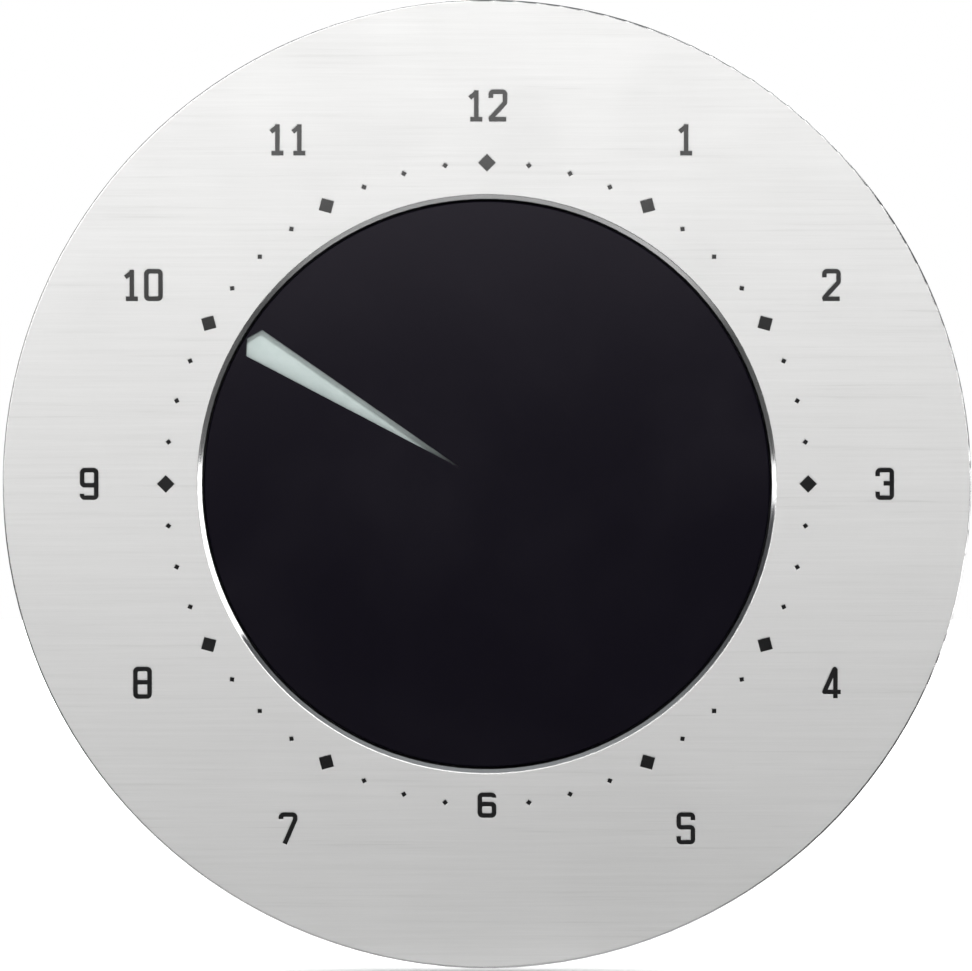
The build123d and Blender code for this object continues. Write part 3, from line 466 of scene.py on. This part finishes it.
def brushed_plate(plate):
    """Steel brushed straight across, with a polished bevel and outer rim."""
    finish = Finish("Brushed steel plate", metallic=1.0, anisotropic=0.85,
                    anisotropic_rotation=0.25)
    radius = finish.radius(finish.at)
    outer = radius_of(PLATE_LOW, PLATE_HIGH)
    rounded = finish.shared(edge_wear, place=finish.at, reach=plate.edge_round)
    inner_edge = finish.spread(radius, plate.bevel_radius + BEVEL_FADE, plate.bevel_radius)
    rim = outer - plate.rim_width
    outer_edge = finish.spread(radius, rim - RIM_FADE, rim + RIM_FADE)
    faces = finish.node("ShaderNodeNewGeometry").outputs["Normal"]
    to_front = finish.vector_sum("DOT_PRODUCT", faces, FRONT, out="Value")
    outer_edge = finish.sum_of("MULTIPLY", outer_edge, finish.spread(to_front, 0.995, 0.95))
    polished = finish.sum_of("MAXIMUM", inner_edge, outer_edge)
    plain = finish.sum_of("SUBTRACT", 1.0, polished)
    lines = finish.shared(stroke_lines, place=finish.at, length=plate.stroke_length,
                          width=plate.stroke_width, seed=3.0)
    hairs = finish.shared(stroke_lines, place=finish.at, length=plate.stroke_length * HAIR_LENGTH,
                          width=plate.stroke_width * HAIR_WIDTH, seed=17.0)
    touched = finish.shared(handling, place=finish.at, smear_size=14 * MM, dustiness=0.10)
    height = finish.sum_of("MULTIPLY_ADD", hairs["Height"], 0.35, lines["Height"])
    tone = finish.sum_of("MULTIPLY_ADD", hairs["Tone"], 0.4, lines["Tone"])
    tone = finish.spread(tone, 0.0, 1.4)
    metal = finish.blend(finish.sum_of("MULTIPLY", tone, plain), scaled(plate.metal, 0.94),
                         scaled(plate.metal, 1.06))
    cuts = finish.sum_of("MULTIPLY", lines["Cuts"], plain)
    metal = finish.lay(cuts, 0.5, metal, scaled(plate.metal, 0.75))
    metal = finish.blend(polished, metal, tuple(plate.polish))
    metal = finish.blend(touched["Dust"], metal, DUST_ON_METAL)
    rough = finish.sum_of("MULTIPLY_ADD", cuts, 0.06, plate.brushed)
    rough = finish.sum_of("MULTIPLY_ADD", touched["Smears"], 0.025, rough)
    rough = finish.spread(polished, 0.0, 1.0, rough, plate.polished)
    height = finish.sum_of("MULTIPLY", height, plain)
    normal = finish.relief(height, plate.stroke_depth, rounded["Soft normal"])
    return finish.show(metal, rough, normal)


def marking_ink(plate):
    """Glossy black stove ink laid into the plate."""
    finish = Finish("Marking ink", specular_ior_level=0.5)
    grain = finish.shared(moulded_grain, place=finish.at, size=0.10 * MM)
    touched = finish.shared(handling, place=finish.at, smear_size=9 * MM, dustiness=0.1)
    shade = finish.lay(grain["Tone"], 0.5, tuple(plate.ink), scaled(plate.ink, 1.9))
    rough = finish.sum_of("MULTIPLY_ADD", touched["Smears"], 0.06, plate.ink_gloss)
    return finish.show(shade, rough, finish.relief(grain["Height"], 0.0012 * MM))


def disc_black(dial):
    """Satin black plastic with a very fine grain."""
    finish = Finish("Satin black disc", specular_ior_level=0.14, specular_tint=(0.94, 0.88, 1.0))
    grain = finish.shared(moulded_grain, place=finish.at, size=dial.disc_grain)
    touched = finish.shared(handling, place=finish.at, smear_size=16 * MM, dustiness=0.10)
    worn = finish.shared(edge_wear, place=finish.at, reach=0.06 * MM, patches=700.0, amount=0.5)
    shade = finish.lay(grain["Tone"], 0.35, tuple(dial.disc), scaled(dial.disc, 1.5))
    shade = finish.blend(worn["Mask"], shade, scaled(dial.disc, 6.0))
    shade = finish.blend(touched["Dust"], shade, DUST_ON_DISC)
    rough = finish.sum_of("MULTIPLY_ADD", touched["Smears"], 0.05, dial.disc_blur)
    normal = finish.relief(grain["Height"], 0.0015 * MM, worn["Soft normal"])
    return finish.show(shade, rough, normal)


def luminous_filling(dial):
    """Pale green luminous filling: fine grains bound in clear lacquer."""
    finish = Finish("Luminous filling", specular_ior_level=0.4)
    grain = finish.shared(moulded_grain, place=finish.at, size=dial.hand_grain)
    cloud = finish.spread(finish.noise(finish.at, FILLING_CLOUDS, 3.0, 0.6), 0.35, 0.68)
    shade = finish.lay(grain["Tone"], 0.40, scaled(dial.hand, 0.90), tuple(dial.hand))
    pale = tuple(0.9 * part + 0.08 for part in dial.hand)
    shade = finish.lay(cloud, 0.5, shade, pale)
    rough = finish.spread(grain["Tone"], 0.0, 1.0, 0.50, 0.64)
    return finish.show(shade, rough, finish.relief(grain["Height"], 0.006 * MM))


def moulded_plastic(name, shade, grain_size, grain_depth, roughness, wear=0.6, dust=0.35):
    """Moulded plastic with a worn mould's grain, rubbed edges, smears and dust."""
    finish = Finish(name, specular_ior_level=0.45)
    grain = finish.shared(moulded_grain, place=finish.at, size=grain_size)
    worn = finish.shared(edge_wear, place=finish.at, reach=0.26 * MM, patches=450.0, amount=wear)
    touched = finish.shared(handling, place=finish.at, smear_size=13 * MM, dustiness=dust)
    tinted = finish.lay(grain["Tone"], 0.6, tuple(shade), scaled(shade, 1.35))
    rubbed = tuple(0.8 * part + 0.05 for part in shade)
    tinted = finish.lay(worn["Mask"], 0.45, tinted, rubbed)
    tinted = finish.blend(touched["Dust"], tinted, DUST_ON_PLASTIC)
    rough = finish.spread(grain["Tone"], 0.0, 1.0, roughness + 0.05, roughness - 0.05)
    rough = finish.sum_of("MULTIPLY_ADD", touched["Smears"], -0.07, rough)
    rough = finish.sum_of("MULTIPLY_ADD", worn["Mask"], -0.12, rough)
    normal = finish.relief(grain["Height"], grain_depth, worn["Soft normal"])
    return finish.show(tinted, rough, normal)


def turned_metal(name, shade, middle, pitch, roughness, depth=0.002 * MM):
    """Metal with the rings a lathe or press leaves, and rubbed edges."""
    finish = Finish(name, metallic=1.0)
    rings = finish.shared(turned_lines, place=finish.at, middle=tuple(middle), pitch=pitch)
    worn = finish.shared(edge_wear, place=finish.at, reach=0.08 * MM, patches=1100.0, amount=0.7)
    touched = finish.shared(handling, place=finish.at, smear_size=6 * MM, dustiness=0.15)
    tinted = finish.lay(rings["Tone"], 0.5, scaled(shade, 0.78), tuple(shade))
    tinted = finish.blend(worn["Mask"], tinted, scaled(shade, 1.6))
    tinted = finish.lay(touched["Smears"], 0.3, tinted, scaled(shade, 0.66))
    rough = finish.sum_of("MULTIPLY_ADD", touched["Smears"], 0.12, roughness)
    return finish.show(tinted, rough, finish.relief(rings["Height"], depth, worn["Soft normal"]))


def plated_metal(name, shade, grain_size, roughness, depth=0.003 * MM):
    """Plated or rolled metal: fine chance grain, tarnish in clouds, bright edges."""
    finish = Finish(name, metallic=1.0)
    grain = finish.shared(moulded_grain, place=finish.at, size=grain_size)
    worn = finish.shared(edge_wear, place=finish.at, reach=0.06 * MM, patches=1500.0, amount=0.8)
    touched = finish.shared(handling, place=finish.at, smear_size=3 * MM, dustiness=0.12)
    tinted = finish.lay(grain["Tone"], 0.4, scaled(shade, 0.8), tuple(shade))
    tinted = finish.lay(touched["Smears"], 0.4, tinted, scaled(shade, 0.6))
    tinted = finish.blend(worn["Mask"], tinted, scaled(shade, 1.5))
    rough = finish.spread(grain["Tone"], 0.0, 1.0, roughness + 0.08, roughness - 0.04)
    return finish.show(tinted, rough, finish.relief(grain["Height"], depth, worn["Soft normal"]))


def soft_rubber(name, shade, grain_size, roughness=0.72, dust=0.3):
    """Rubber or foam: matt, finely pitted, with a little bloom in clouds."""
    finish = Finish(name, specular_ior_level=0.35, sheen_weight=0.06, sheen_roughness=0.5)
    grain = finish.shared(moulded_grain, place=finish.at, size=grain_size)
    touched = finish.shared(handling, place=finish.at, smear_size=5 * MM, dustiness=dust)
    tinted = finish.lay(grain["Tone"], 0.5, tuple(shade), scaled(shade, 1.5))
    bloom = tuple(part + 0.03 for part in shade)
    tinted = finish.lay(touched["Smears"], 0.5, tinted, bloom)
    tinted = finish.blend(touched["Dust"], tinted, DUST_ON_RUBBER)
    rough = finish.sum_of("MULTIPLY_ADD", grain["Tone"], 0.10, roughness - 0.05)
    return finish.show(tinted, rough, finish.relief(grain["Height"], 0.010 * MM))


def silver_label(case):
    """A blank silver film label, matt lacquered, with a fine straight grain."""
    finish = Finish("Blank label", metallic=0.35, specular_ior_level=0.5)
    lines = finish.shared(stroke_lines, place=finish.at, length=9 * MM, width=0.14 * MM, seed=5.0)
    grain = finish.shared(moulded_grain, place=finish.at, size=0.35 * MM)
    touched = finish.shared(handling, place=finish.at, smear_size=7 * MM, dustiness=0.25)
    tinted = finish.lay(lines["Tone"], 0.25, tuple(case.label), scaled(case.label, 0.85))
    tinted = finish.lay(touched["Smears"], 0.2, tinted, scaled(case.label, 0.8))
    rough = finish.spread(grain["Tone"], 0.0, 1.0, 0.30, 0.42)
    height = finish.sum_of("MULTIPLY_ADD", grain["Height"], 0.8, lines["Height"])
    return finish.show(tinted, rough, finish.relief(height, 0.003 * MM))


def circuit_laminate(works):
    """Green lacquer over copper tracks on glass cloth."""
    finish = Finish("Circuit laminate", specular_ior_level=0.5, coat_roughness=0.18)
    cells = {"Vector": finish.at, "Scale": TRACK_CELLS, "Randomness": 0.82}
    edges = finish.node("ShaderNodeTexVoronoi", cells, feature="DISTANCE_TO_EDGE").outputs[0]
    track = finish.spread(edges, 0.045, 0.060, 1.0, 0.0)
    chance = finish.spread(finish.noise(finish.at, 120.0, 1.0, 0.5), 0.46, 0.50)
    track = finish.sum_of("MULTIPLY", track, chance)
    x, _, z = finish.parts(finish.at)
    warp = finish.sum_of("SINE", finish.sum_of("MULTIPLY", x, CLOTH_THREADS))
    weft = finish.sum_of("SINE", finish.sum_of("MULTIPLY", z, CLOTH_THREADS))
    weave = finish.sum_of("MULTIPLY", warp, weft)
    tinted = finish.blend(finish.spread(weave, -1.0, 1.0, 0.0, 0.3), tuple(works.board),
                          scaled(works.board, 1.5))
    tinted = finish.lay(track, 0.6, tinted, scaled(works.board, 2.6))
    height = finish.sum_of("MULTIPLY_ADD", weave, 0.06, track)
    rough = finish.spread(track, 0.0, 1.0, 0.34, 0.26)
    coat = finish.spread(track, 0.0, 1.0, 0.4, 0.6)
    return finish.show(tinted, rough, finish.relief(height, 0.02 * MM), coat=coat)


def wound_wire(works):
    """Enamelled copper wire, layer on layer round the bobbin, with painted shade in the grooves
    between turns.
    """
    finish = Finish("Enamelled wire", metallic=0.9)
    low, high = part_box("coil_core")
    along = Vector((high.x - low.x, 0.0, high.z - low.z)).normalized()
    turn = finish.vector_sum("DOT_PRODUCT", finish.at, tuple(along), out="Value")
    wave = finish.sum_of("SINE", finish.sum_of("MULTIPLY", turn, 2 * math.pi / WIRE))
    touched = finish.shared(handling, place=finish.at, smear_size=2 * MM, dustiness=0.1)
    # painted shade: the wire's colour darkens to about a third in the grooves between its turns
    tinted = finish.blend(finish.spread(wave, -1.0, 1.0, 0.0, 1.0), scaled(works.copper, 0.35),
                          tuple(works.copper))
    tinted = finish.lay(touched["Smears"], 0.4, tinted, scaled(works.copper, 0.6))
    rough = finish.spread(wave, -1.0, 1.0, 0.42, 0.26)
    return finish.show(tinted, rough, finish.relief(finish.spread(wave, -1.0, 1.0), WIRE * 0.4))


# ---------------------------------------------------------------- operators


class Making:
    """What every operator here shares."""

    bl_options = {"REGISTER", "UNDO"}


class PARKINGDISC_OT_dial_plate(Making, bpy.types.Operator):
    """Brush the face plate and polish its bevel and rim."""

    bl_idname = "parking_disc.dial_plate"
    bl_label = "Face plate"

    def execute(self, context):
        dress(brushed_plate(context.scene.parking_disc_plate), "dial_plate")
        return {"FINISHED"}


class PARKINGDISC_OT_markings(Making, bpy.types.Operator):
    """Ink the numerals and the hour and minute marks."""

    bl_idname = "parking_disc.markings"
    bl_label = "Markings"

    def execute(self, context):
        dress(marking_ink(context.scene.parking_disc_plate), "dial_markings")
        return {"FINISHED"}


class PARKINGDISC_OT_time_disc(Making, bpy.types.Operator):
    """Finish the turning disc and fill its hand."""

    bl_idname = "parking_disc.time_disc"
    bl_label = "Turning disc and hand"

    def execute(self, context):
        dial = context.scene.parking_disc_dial
        dress(disc_black(dial), "time_disc")
        dress(luminous_filling(dial), "luminous_hand")
        return {"FINISHED"}


class PARKINGDISC_OT_case(Making, bpy.types.Operator):
    """Finish the front housing, the rear shell, and the seal and tape between."""

    bl_idname = "parking_disc.case"
    bl_label = "Case"

    def execute(self, context):
        case = context.scene.parking_disc_case
        shell = moulded_plastic("Grained black case", case.shell, case.shell_grain,
                                case.shell_depth, 0.50)
        dress(shell, "front_housing", "rear_shell")
        foam = soft_rubber("Adhesive foam", (0.020, 0.020, 0.021), 0.12 * MM, 0.85)
        dress(foam, "plate_tape")
        seal = soft_rubber("Black seal rubber", (0.012, 0.012, 0.013), 0.10 * MM)
        dress(seal, "case_gasket", "cover_seal")
        return {"FINISHED"}


class PARKINGDISC_OT_battery_cover(Making, bpy.types.Operator):
    """Finish the coin-slotted battery cover."""

    bl_idname = "parking_disc.battery_cover"
    bl_label = "Battery cover"

    def execute(self, context):
        case = context.scene.parking_disc_case
        cover = moulded_plastic("Grained black cover", scaled(case.shell, 1.15), case.cover_grain,
                                case.shell_depth * 0.7, 0.44, wear=1.0)
        dress(cover, "battery_cover")
        return {"FINISHED"}


class PARKINGDISC_OT_set_button(Making, bpy.types.Operator):
    """Finish the rubber set button and the switch below it."""

    bl_idname = "parking_disc.set_button"
    bl_label = "Set button"

    def execute(self, context):
        case = context.scene.parking_disc_case
        dress(soft_rubber("Button rubber", case.button, 0.14 * MM, 0.60), "set_button")
        body = moulded_plastic("Switch body", (0.020, 0.020, 0.022), 0.12 * MM, 0.003 * MM, 0.42)
        dress(body, "tact_switch")
        plunger = moulded_plastic("Switch plunger", (0.62, 0.60, 0.56), 0.10 * MM, 0.002 * MM, 0.40)
        dress(plunger, "switch_plunger")
        return {"FINISHED"}


class PARKINGDISC_OT_screws(Making, bpy.types.Operator):
    """Blacken the case screws and plate the small ones."""

    bl_idname = "parking_disc.screws"
    bl_label = "Screws"

    def execute(self, context):
        case = context.scene.parking_disc_case
        dress(plated_metal("Blackened screw", case.screw, 0.12 * MM, 0.36), "case_screws")
        dress(plated_metal("Zinc plated screw", (0.58, 0.60, 0.62), 0.10 * MM, 0.30),
              "bridge_screws", "board_screws", "coil_screws")
        return {"FINISHED"}


class PARKINGDISC_OT_label(Making, bpy.types.Operator):
    """Finish the blank label on the back."""

    bl_idname = "parking_disc.label"
    bl_label = "Label"

    def execute(self, context):
        dress(silver_label(context.scene.parking_disc_case), "rear_label")
        return {"FINISHED"}


class PARKINGDISC_OT_gear_train(Making, bpy.types.Operator):
    """Finish the wheels, pinions, arbors, bush and gear bridge."""

    bl_idname = "parking_disc.gear_train"
    bl_label = "Gear train"

    def execute(self, context):
        works = context.scene.parking_disc_works
        wheel = moulded_plastic("Wheel plastic", works.gear, 0.20 * MM, 0.003 * MM, 0.38, dust=0.1)
        dress(wheel, "disc_gear", "idler_wheel")
        pinion = moulded_plastic("Pinion plastic", works.pinion, 0.18 * MM, 0.003 * MM, 0.36,
                                 dust=0.1)
        dress(pinion, "idler_pinion", "motor_pinion")
        bridge = moulded_plastic("Bridge plastic", (0.025, 0.025, 0.027), 0.20 * MM, 0.005 * MM,
                                 0.46)
        dress(bridge, "gear_bridge")
        for node in ("disc_axle", "idler_arbor", "motor_arbor"):
            name = "Ground steel " + node.replace("_", " ")
            dress(turned_metal(name, works.steel, middle_of(node), 0.05 * MM, 0.20), node)
        bush = turned_metal("Brass bush", works.brass, middle_of("axle_bush"), 0.09 * MM, 0.26)
        dress(bush, "axle_bush")
        return {"FINISHED"}


class PARKINGDISC_OT_motor(Making, bpy.types.Operator):
    """Finish the motor's magnet, stator, core, bobbin, winding and pins."""

    bl_idname = "parking_disc.motor"
    bl_label = "Stepping motor"

    def execute(self, context):
        works = context.scene.parking_disc_works
        middle = middle_of("rotor_magnet")
        magnet = turned_metal("Nickel magnet", (0.52, 0.50, 0.47), middle, 0.06 * MM, 0.24)
        dress(magnet, "rotor_magnet")
        iron = plated_metal("Stator iron", (0.44, 0.44, 0.45), 0.16 * MM, 0.36)
        dress(iron, "stator_plate", "coil_core")
        bobbin = moulded_plastic("Bobbin plastic", (0.06, 0.22, 0.12), 0.15 * MM, 0.003 * MM, 0.42)
        dress(bobbin, "coil_bobbin")
        dress(wound_wire(works), "coil_winding")
        tinned = plated_metal("Tinned pin", (0.66, 0.66, 0.64), 0.06 * MM, 0.28)
        dress(tinned, "coil_pins", "chip_leads")
        return {"FINISHED"}


class PARKINGDISC_OT_circuit_board(Making, bpy.types.Operator):
    """Finish the circuit board and the parts on it."""

    bl_idname = "parking_disc.circuit_board"
    bl_label = "Circuit board"

    def execute(self, context):
        works = context.scene.parking_disc_works
        dress(circuit_laminate(works), "circuit_board")
        resin = moulded_plastic("Chip resin", (0.018, 0.018, 0.019), 0.07 * MM, 0.003 * MM, 0.55,
                                wear=0.2)
        dress(resin, "control_chip", "motion_sensor", "clock_chip")
        dress(plated_metal("Crystal can", (0.64, 0.63, 0.60), 0.14 * MM, 0.26), "clock_crystal")
        ceramic = moulded_plastic("Capacitor ceramic", (0.30, 0.19, 0.10), 0.08 * MM, 0.002 * MM,
                                  0.48)
        dress(ceramic, "small_components")
        return {"FINISHED"}


class PARKINGDISC_OT_battery(Making, bpy.types.Operator):
    """Finish the coin cell and its contacts."""

    bl_idname = "parking_disc.battery"
    bl_label = "Coin cell"

    def execute(self, context):
        works = context.scene.parking_disc_works
        middle = middle_of("coin_cell_can")
        steel = turned_metal("Coin cell steel", works.steel, middle, 0.22 * MM, 0.24)
        dress(steel, "coin_cell_can", "coin_cell_cap")
        seal = moulded_plastic("Cell seal", (0.04, 0.04, 0.042), 0.10 * MM, 0.002 * MM, 0.45)
        dress(seal, "cell_gasket")
        spring = plated_metal("Contact spring", (0.66, 0.60, 0.48), 0.08 * MM, 0.26)
        dress(spring, "negative_contact", "positive_contact")
        return {"FINISHED"}


WHITE = (1.0, 1.0, 1.0)
WARM = (1.0, 0.995, 0.985)
# Whether dull surfaces show a light, and whether shiny ones do.
EVERYWHERE = (True, True)
ONLY_MIRRORED = (False, True)
NEVER_MIRRORED = (True, False)
# Each light: where it stands, where it points, how many degrees it is turned about its own axis,
# its width and height, its power in watts, its colour, and which surfaces show it.
LIGHTS = {
    "Front softbox": ((-0.10, -0.90, 0.474), (-0.10, 0.0, 0.474), 4.5, (1.80, 0.80), 16.0, WARM,
                      ONLY_MIRRORED),
    "Key": ((0.06, -0.62, 0.46), (0.0, 0.0, 0.0), 0.0, (0.12, 0.12), 5.6, WHITE, NEVER_MIRRORED),
    "Right panel": ((0.75, -0.05, 0.16), (0.0, -0.05, 0.16), 0.0, (0.50, 0.60), 2.4, WHITE,
                    EVERYWHERE),
    "Left strip": ((-0.70, -0.03, -0.005), (0.0, -0.03, -0.005), 0.0, (0.30, 0.10), 0.2, WHITE,
                   EVERYWHERE),
    "Overhead": ((0.0, 1.15, 1.30), (0.0, 1.15, 0.0), 0.0, (3.2, 2.4), 96.0, WHITE,
                 NEVER_MIRRORED),
    "Back softbox": ((0.25, 1.10, 0.60), (0.0, 0.0, 0.0), 0.0, (1.00, 0.70), 5.0, WHITE,
                     EVERYWHERE),
}
FLOOR_SIDE = 1.1
FLOOR_FRONT = 0.8
FLOOR_BACK = 1.2
FLOOR_GAP = 1.2 * MM  # the floor stays clear of the object, which hangs from a windscreen
# Painted reflection: in what shiny surfaces mirror, the floor is painted pale in a strip at the
# object's foot and dark further off, unlike the floor the eye sees: the strip's middle, its shape,
# where it starts to darken and where it is dark, and how pale the strip and the dark part are.
FOOT_MIDDLE = (-0.012, 0.0, 0.0)
FOOT_SHAPE = (1.0, 6.0, 0.0)
FOOT_LIGHT = 0.030
FOOT_DARK = 0.085
MIRRORED_FOOT = 0.62
MIRRORED_FLOOR = 0.052
SENSOR_WIDTH = 36.0
CLIP_START = 0.01


class PARKINGDISC_OT_stage(Making, bpy.types.Operator):
    """Lay the floor, set the lights and stand the camera before the plate."""

    bl_idname = "parking_disc.stage"
    bl_label = "Stage"

    def execute(self, context):
        scene = context.scene
        stage = scene.parking_disc_stage
        scene.view_settings.view_transform = "Standard"
        self.light_the_air(scene, stage)
        self.lay_floor(scene, stage)
        for name, facts in LIGHTS.items():
            self.set_light(scene, name, *facts)
        camera = bpy.data.objects.new("Camera", bpy.data.cameras.new("Camera"))
        camera.location = (stage.shift_x, -stage.distance, stage.shift_z)
        camera.rotation_euler = (math.radians(90), 0.0, 0.0)
        camera.data.sensor_width = SENSOR_WIDTH
        camera.data.lens = SENSOR_WIDTH * stage.distance / stage.view_width
        camera.data.clip_start = CLIP_START
        scene.collection.objects.link(camera)
        scene.camera = camera
        return {"FINISHED"}

    def light_the_air(self, scene, stage):
        """A white backdrop for the eye, and dim even light for everything else."""
        world = bpy.data.worlds.new("Studio")
        world.use_nodes = True
        wiring = Wiring(world.node_tree)
        seen = wiring.node("ShaderNodeLightPath").outputs["Is Camera Ray"]
        background = next(n for n in wiring.tree.nodes if n.type == "BACKGROUND")
        up = wiring.parts(wiring.node("ShaderNodeTexCoord").outputs["Generated"])[2]
        high = wiring.spread(up, 0.45, 0.95, smooth=True)
        air = wiring.blend(high, tuple(stage.air), tuple(stage.ceiling))
        shown = wiring.blend(seen, air, tuple(stage.backdrop))
        wiring.feed(background.inputs["Color"], shown)
        scene.world = world

    def lay_floor(self, scene, stage):
        """A plain pale floor just below the object, with a painted reflection: shiny surfaces
        mirror it pale only at the object's foot.
        """
        level = WHOLE_LOW.z - FLOOR_GAP
        corners = [
            (-FLOOR_SIDE, -FLOOR_FRONT, level),
            (FLOOR_SIDE, -FLOOR_FRONT, level),
            (FLOOR_SIDE, FLOOR_BACK, level),
            (-FLOOR_SIDE, FLOOR_BACK, level),
        ]
        mesh = bpy.data.meshes.new("Floor")
        mesh.from_pydata(corners, [], [(0, 1, 2, 3)])
        floor = bpy.data.objects.new("Floor", mesh)
        scene.collection.objects.link(floor)
        finish = Finish("Pale floor", specular_ior_level=0.2)
        cloud = finish.spread(finish.noise(finish.at, 6.0, 2.0, 0.5), 0.3, 0.7)
        shade = finish.lay(cloud, 0.15, tuple(stage.floor), scaled(stage.floor, 0.97))
        moved = finish.vector_sum("SUBTRACT", finish.at, FOOT_MIDDLE)
        stretched = finish.vector_sum("MULTIPLY", moved, FOOT_SHAPE)
        from_foot = finish.vector_sum("LENGTH", stretched, out="Value")
        far = finish.spread(from_foot, FOOT_LIGHT, FOOT_DARK, smooth=True)
        # painted reflection: the floor as shiny surfaces mirror it, pale at the foot and dark
        # further off
        dim = finish.blend(far, scaled(stage.floor, MIRRORED_FOOT),
                           scaled(stage.floor, MIRRORED_FLOOR))
        mirrored = finish.node("ShaderNodeLightPath").outputs["Is Glossy Ray"]
        shade = finish.blend(mirrored, shade, dim)
        mesh.materials.append(finish.show(shade, 0.9))

    def set_light(self, scene, name, stands, points, turn, size, power, tint, shown_on):
        """One soft rectangular light."""
        lamp = bpy.data.lights.new(name, "AREA")
        lamp.shape = "RECTANGLE"
        lamp.size, lamp.size_y = size
        lamp.energy = power
        lamp.color = tint
        holder = bpy.data.objects.new(name, lamp)
        holder.location = stands
        aim = Vector(points) - Vector(stands)
        turned = Quaternion((0.0, 0.0, 1.0), math.radians(turn))
        holder.rotation_euler = (aim.to_track_quat("-Z", "Y") @ turned).to_euler()
        holder.visible_camera = False
        holder.visible_diffuse, holder.visible_glossy = shown_on
        scene.collection.objects.link(holder)


OPERATORS = (
    PARKINGDISC_OT_dial_plate,
    PARKINGDISC_OT_markings,
    PARKINGDISC_OT_time_disc,
    PARKINGDISC_OT_case,
    PARKINGDISC_OT_battery_cover,
    PARKINGDISC_OT_set_button,
    PARKINGDISC_OT_screws,
    PARKINGDISC_OT_label,
    PARKINGDISC_OT_gear_train,
    PARKINGDISC_OT_motor,
    PARKINGDISC_OT_circuit_board,
    PARKINGDISC_OT_battery,
    PARKINGDISC_OT_stage,
)


class PARKINGDISC_PT_sidebar(bpy.types.Panel):
    """Lists the settings and the steps that make the parking disc."""

    bl_idname = "PARKINGDISC_PT_sidebar"
    bl_label = "Parking Disc"
    bl_space_type = "VIEW_3D"
    bl_region_type = "UI"
    bl_category = "Parking Disc"

    def draw(self, context):
        for name, kind in SETTINGS.items():
            box = self.layout.box()
            box.label(text=kind.__doc__)
            for key in kind.__annotations__:
                box.prop(getattr(context.scene, name), key)
        column = self.layout.column(align=True)
        for operator in OPERATORS:
            column.operator(operator.bl_idname)


CLASSES = (*SETTINGS.values(), *OPERATORS, PARKINGDISC_PT_sidebar)


def register():
    """Adds the settings, the operators and the panel."""
    for each in CLASSES:
        bpy.utils.register_class(each)
    for name, kind in SETTINGS.items():
        setattr(bpy.types.Scene, name, PointerProperty(type=kind))


def unregister():
    """Takes them away again."""
    for name in SETTINGS:
        delattr(bpy.types.Scene, name)
    for each in reversed(CLASSES):
        bpy.utils.unregister_class(each)


def main():
    """Makes everything in order."""
    register()
    for operator in OPERATORS:
        group, name = operator.bl_idname.split(".")
        getattr(getattr(bpy.ops, group), name)()


if __name__ == "__main__":
    main()
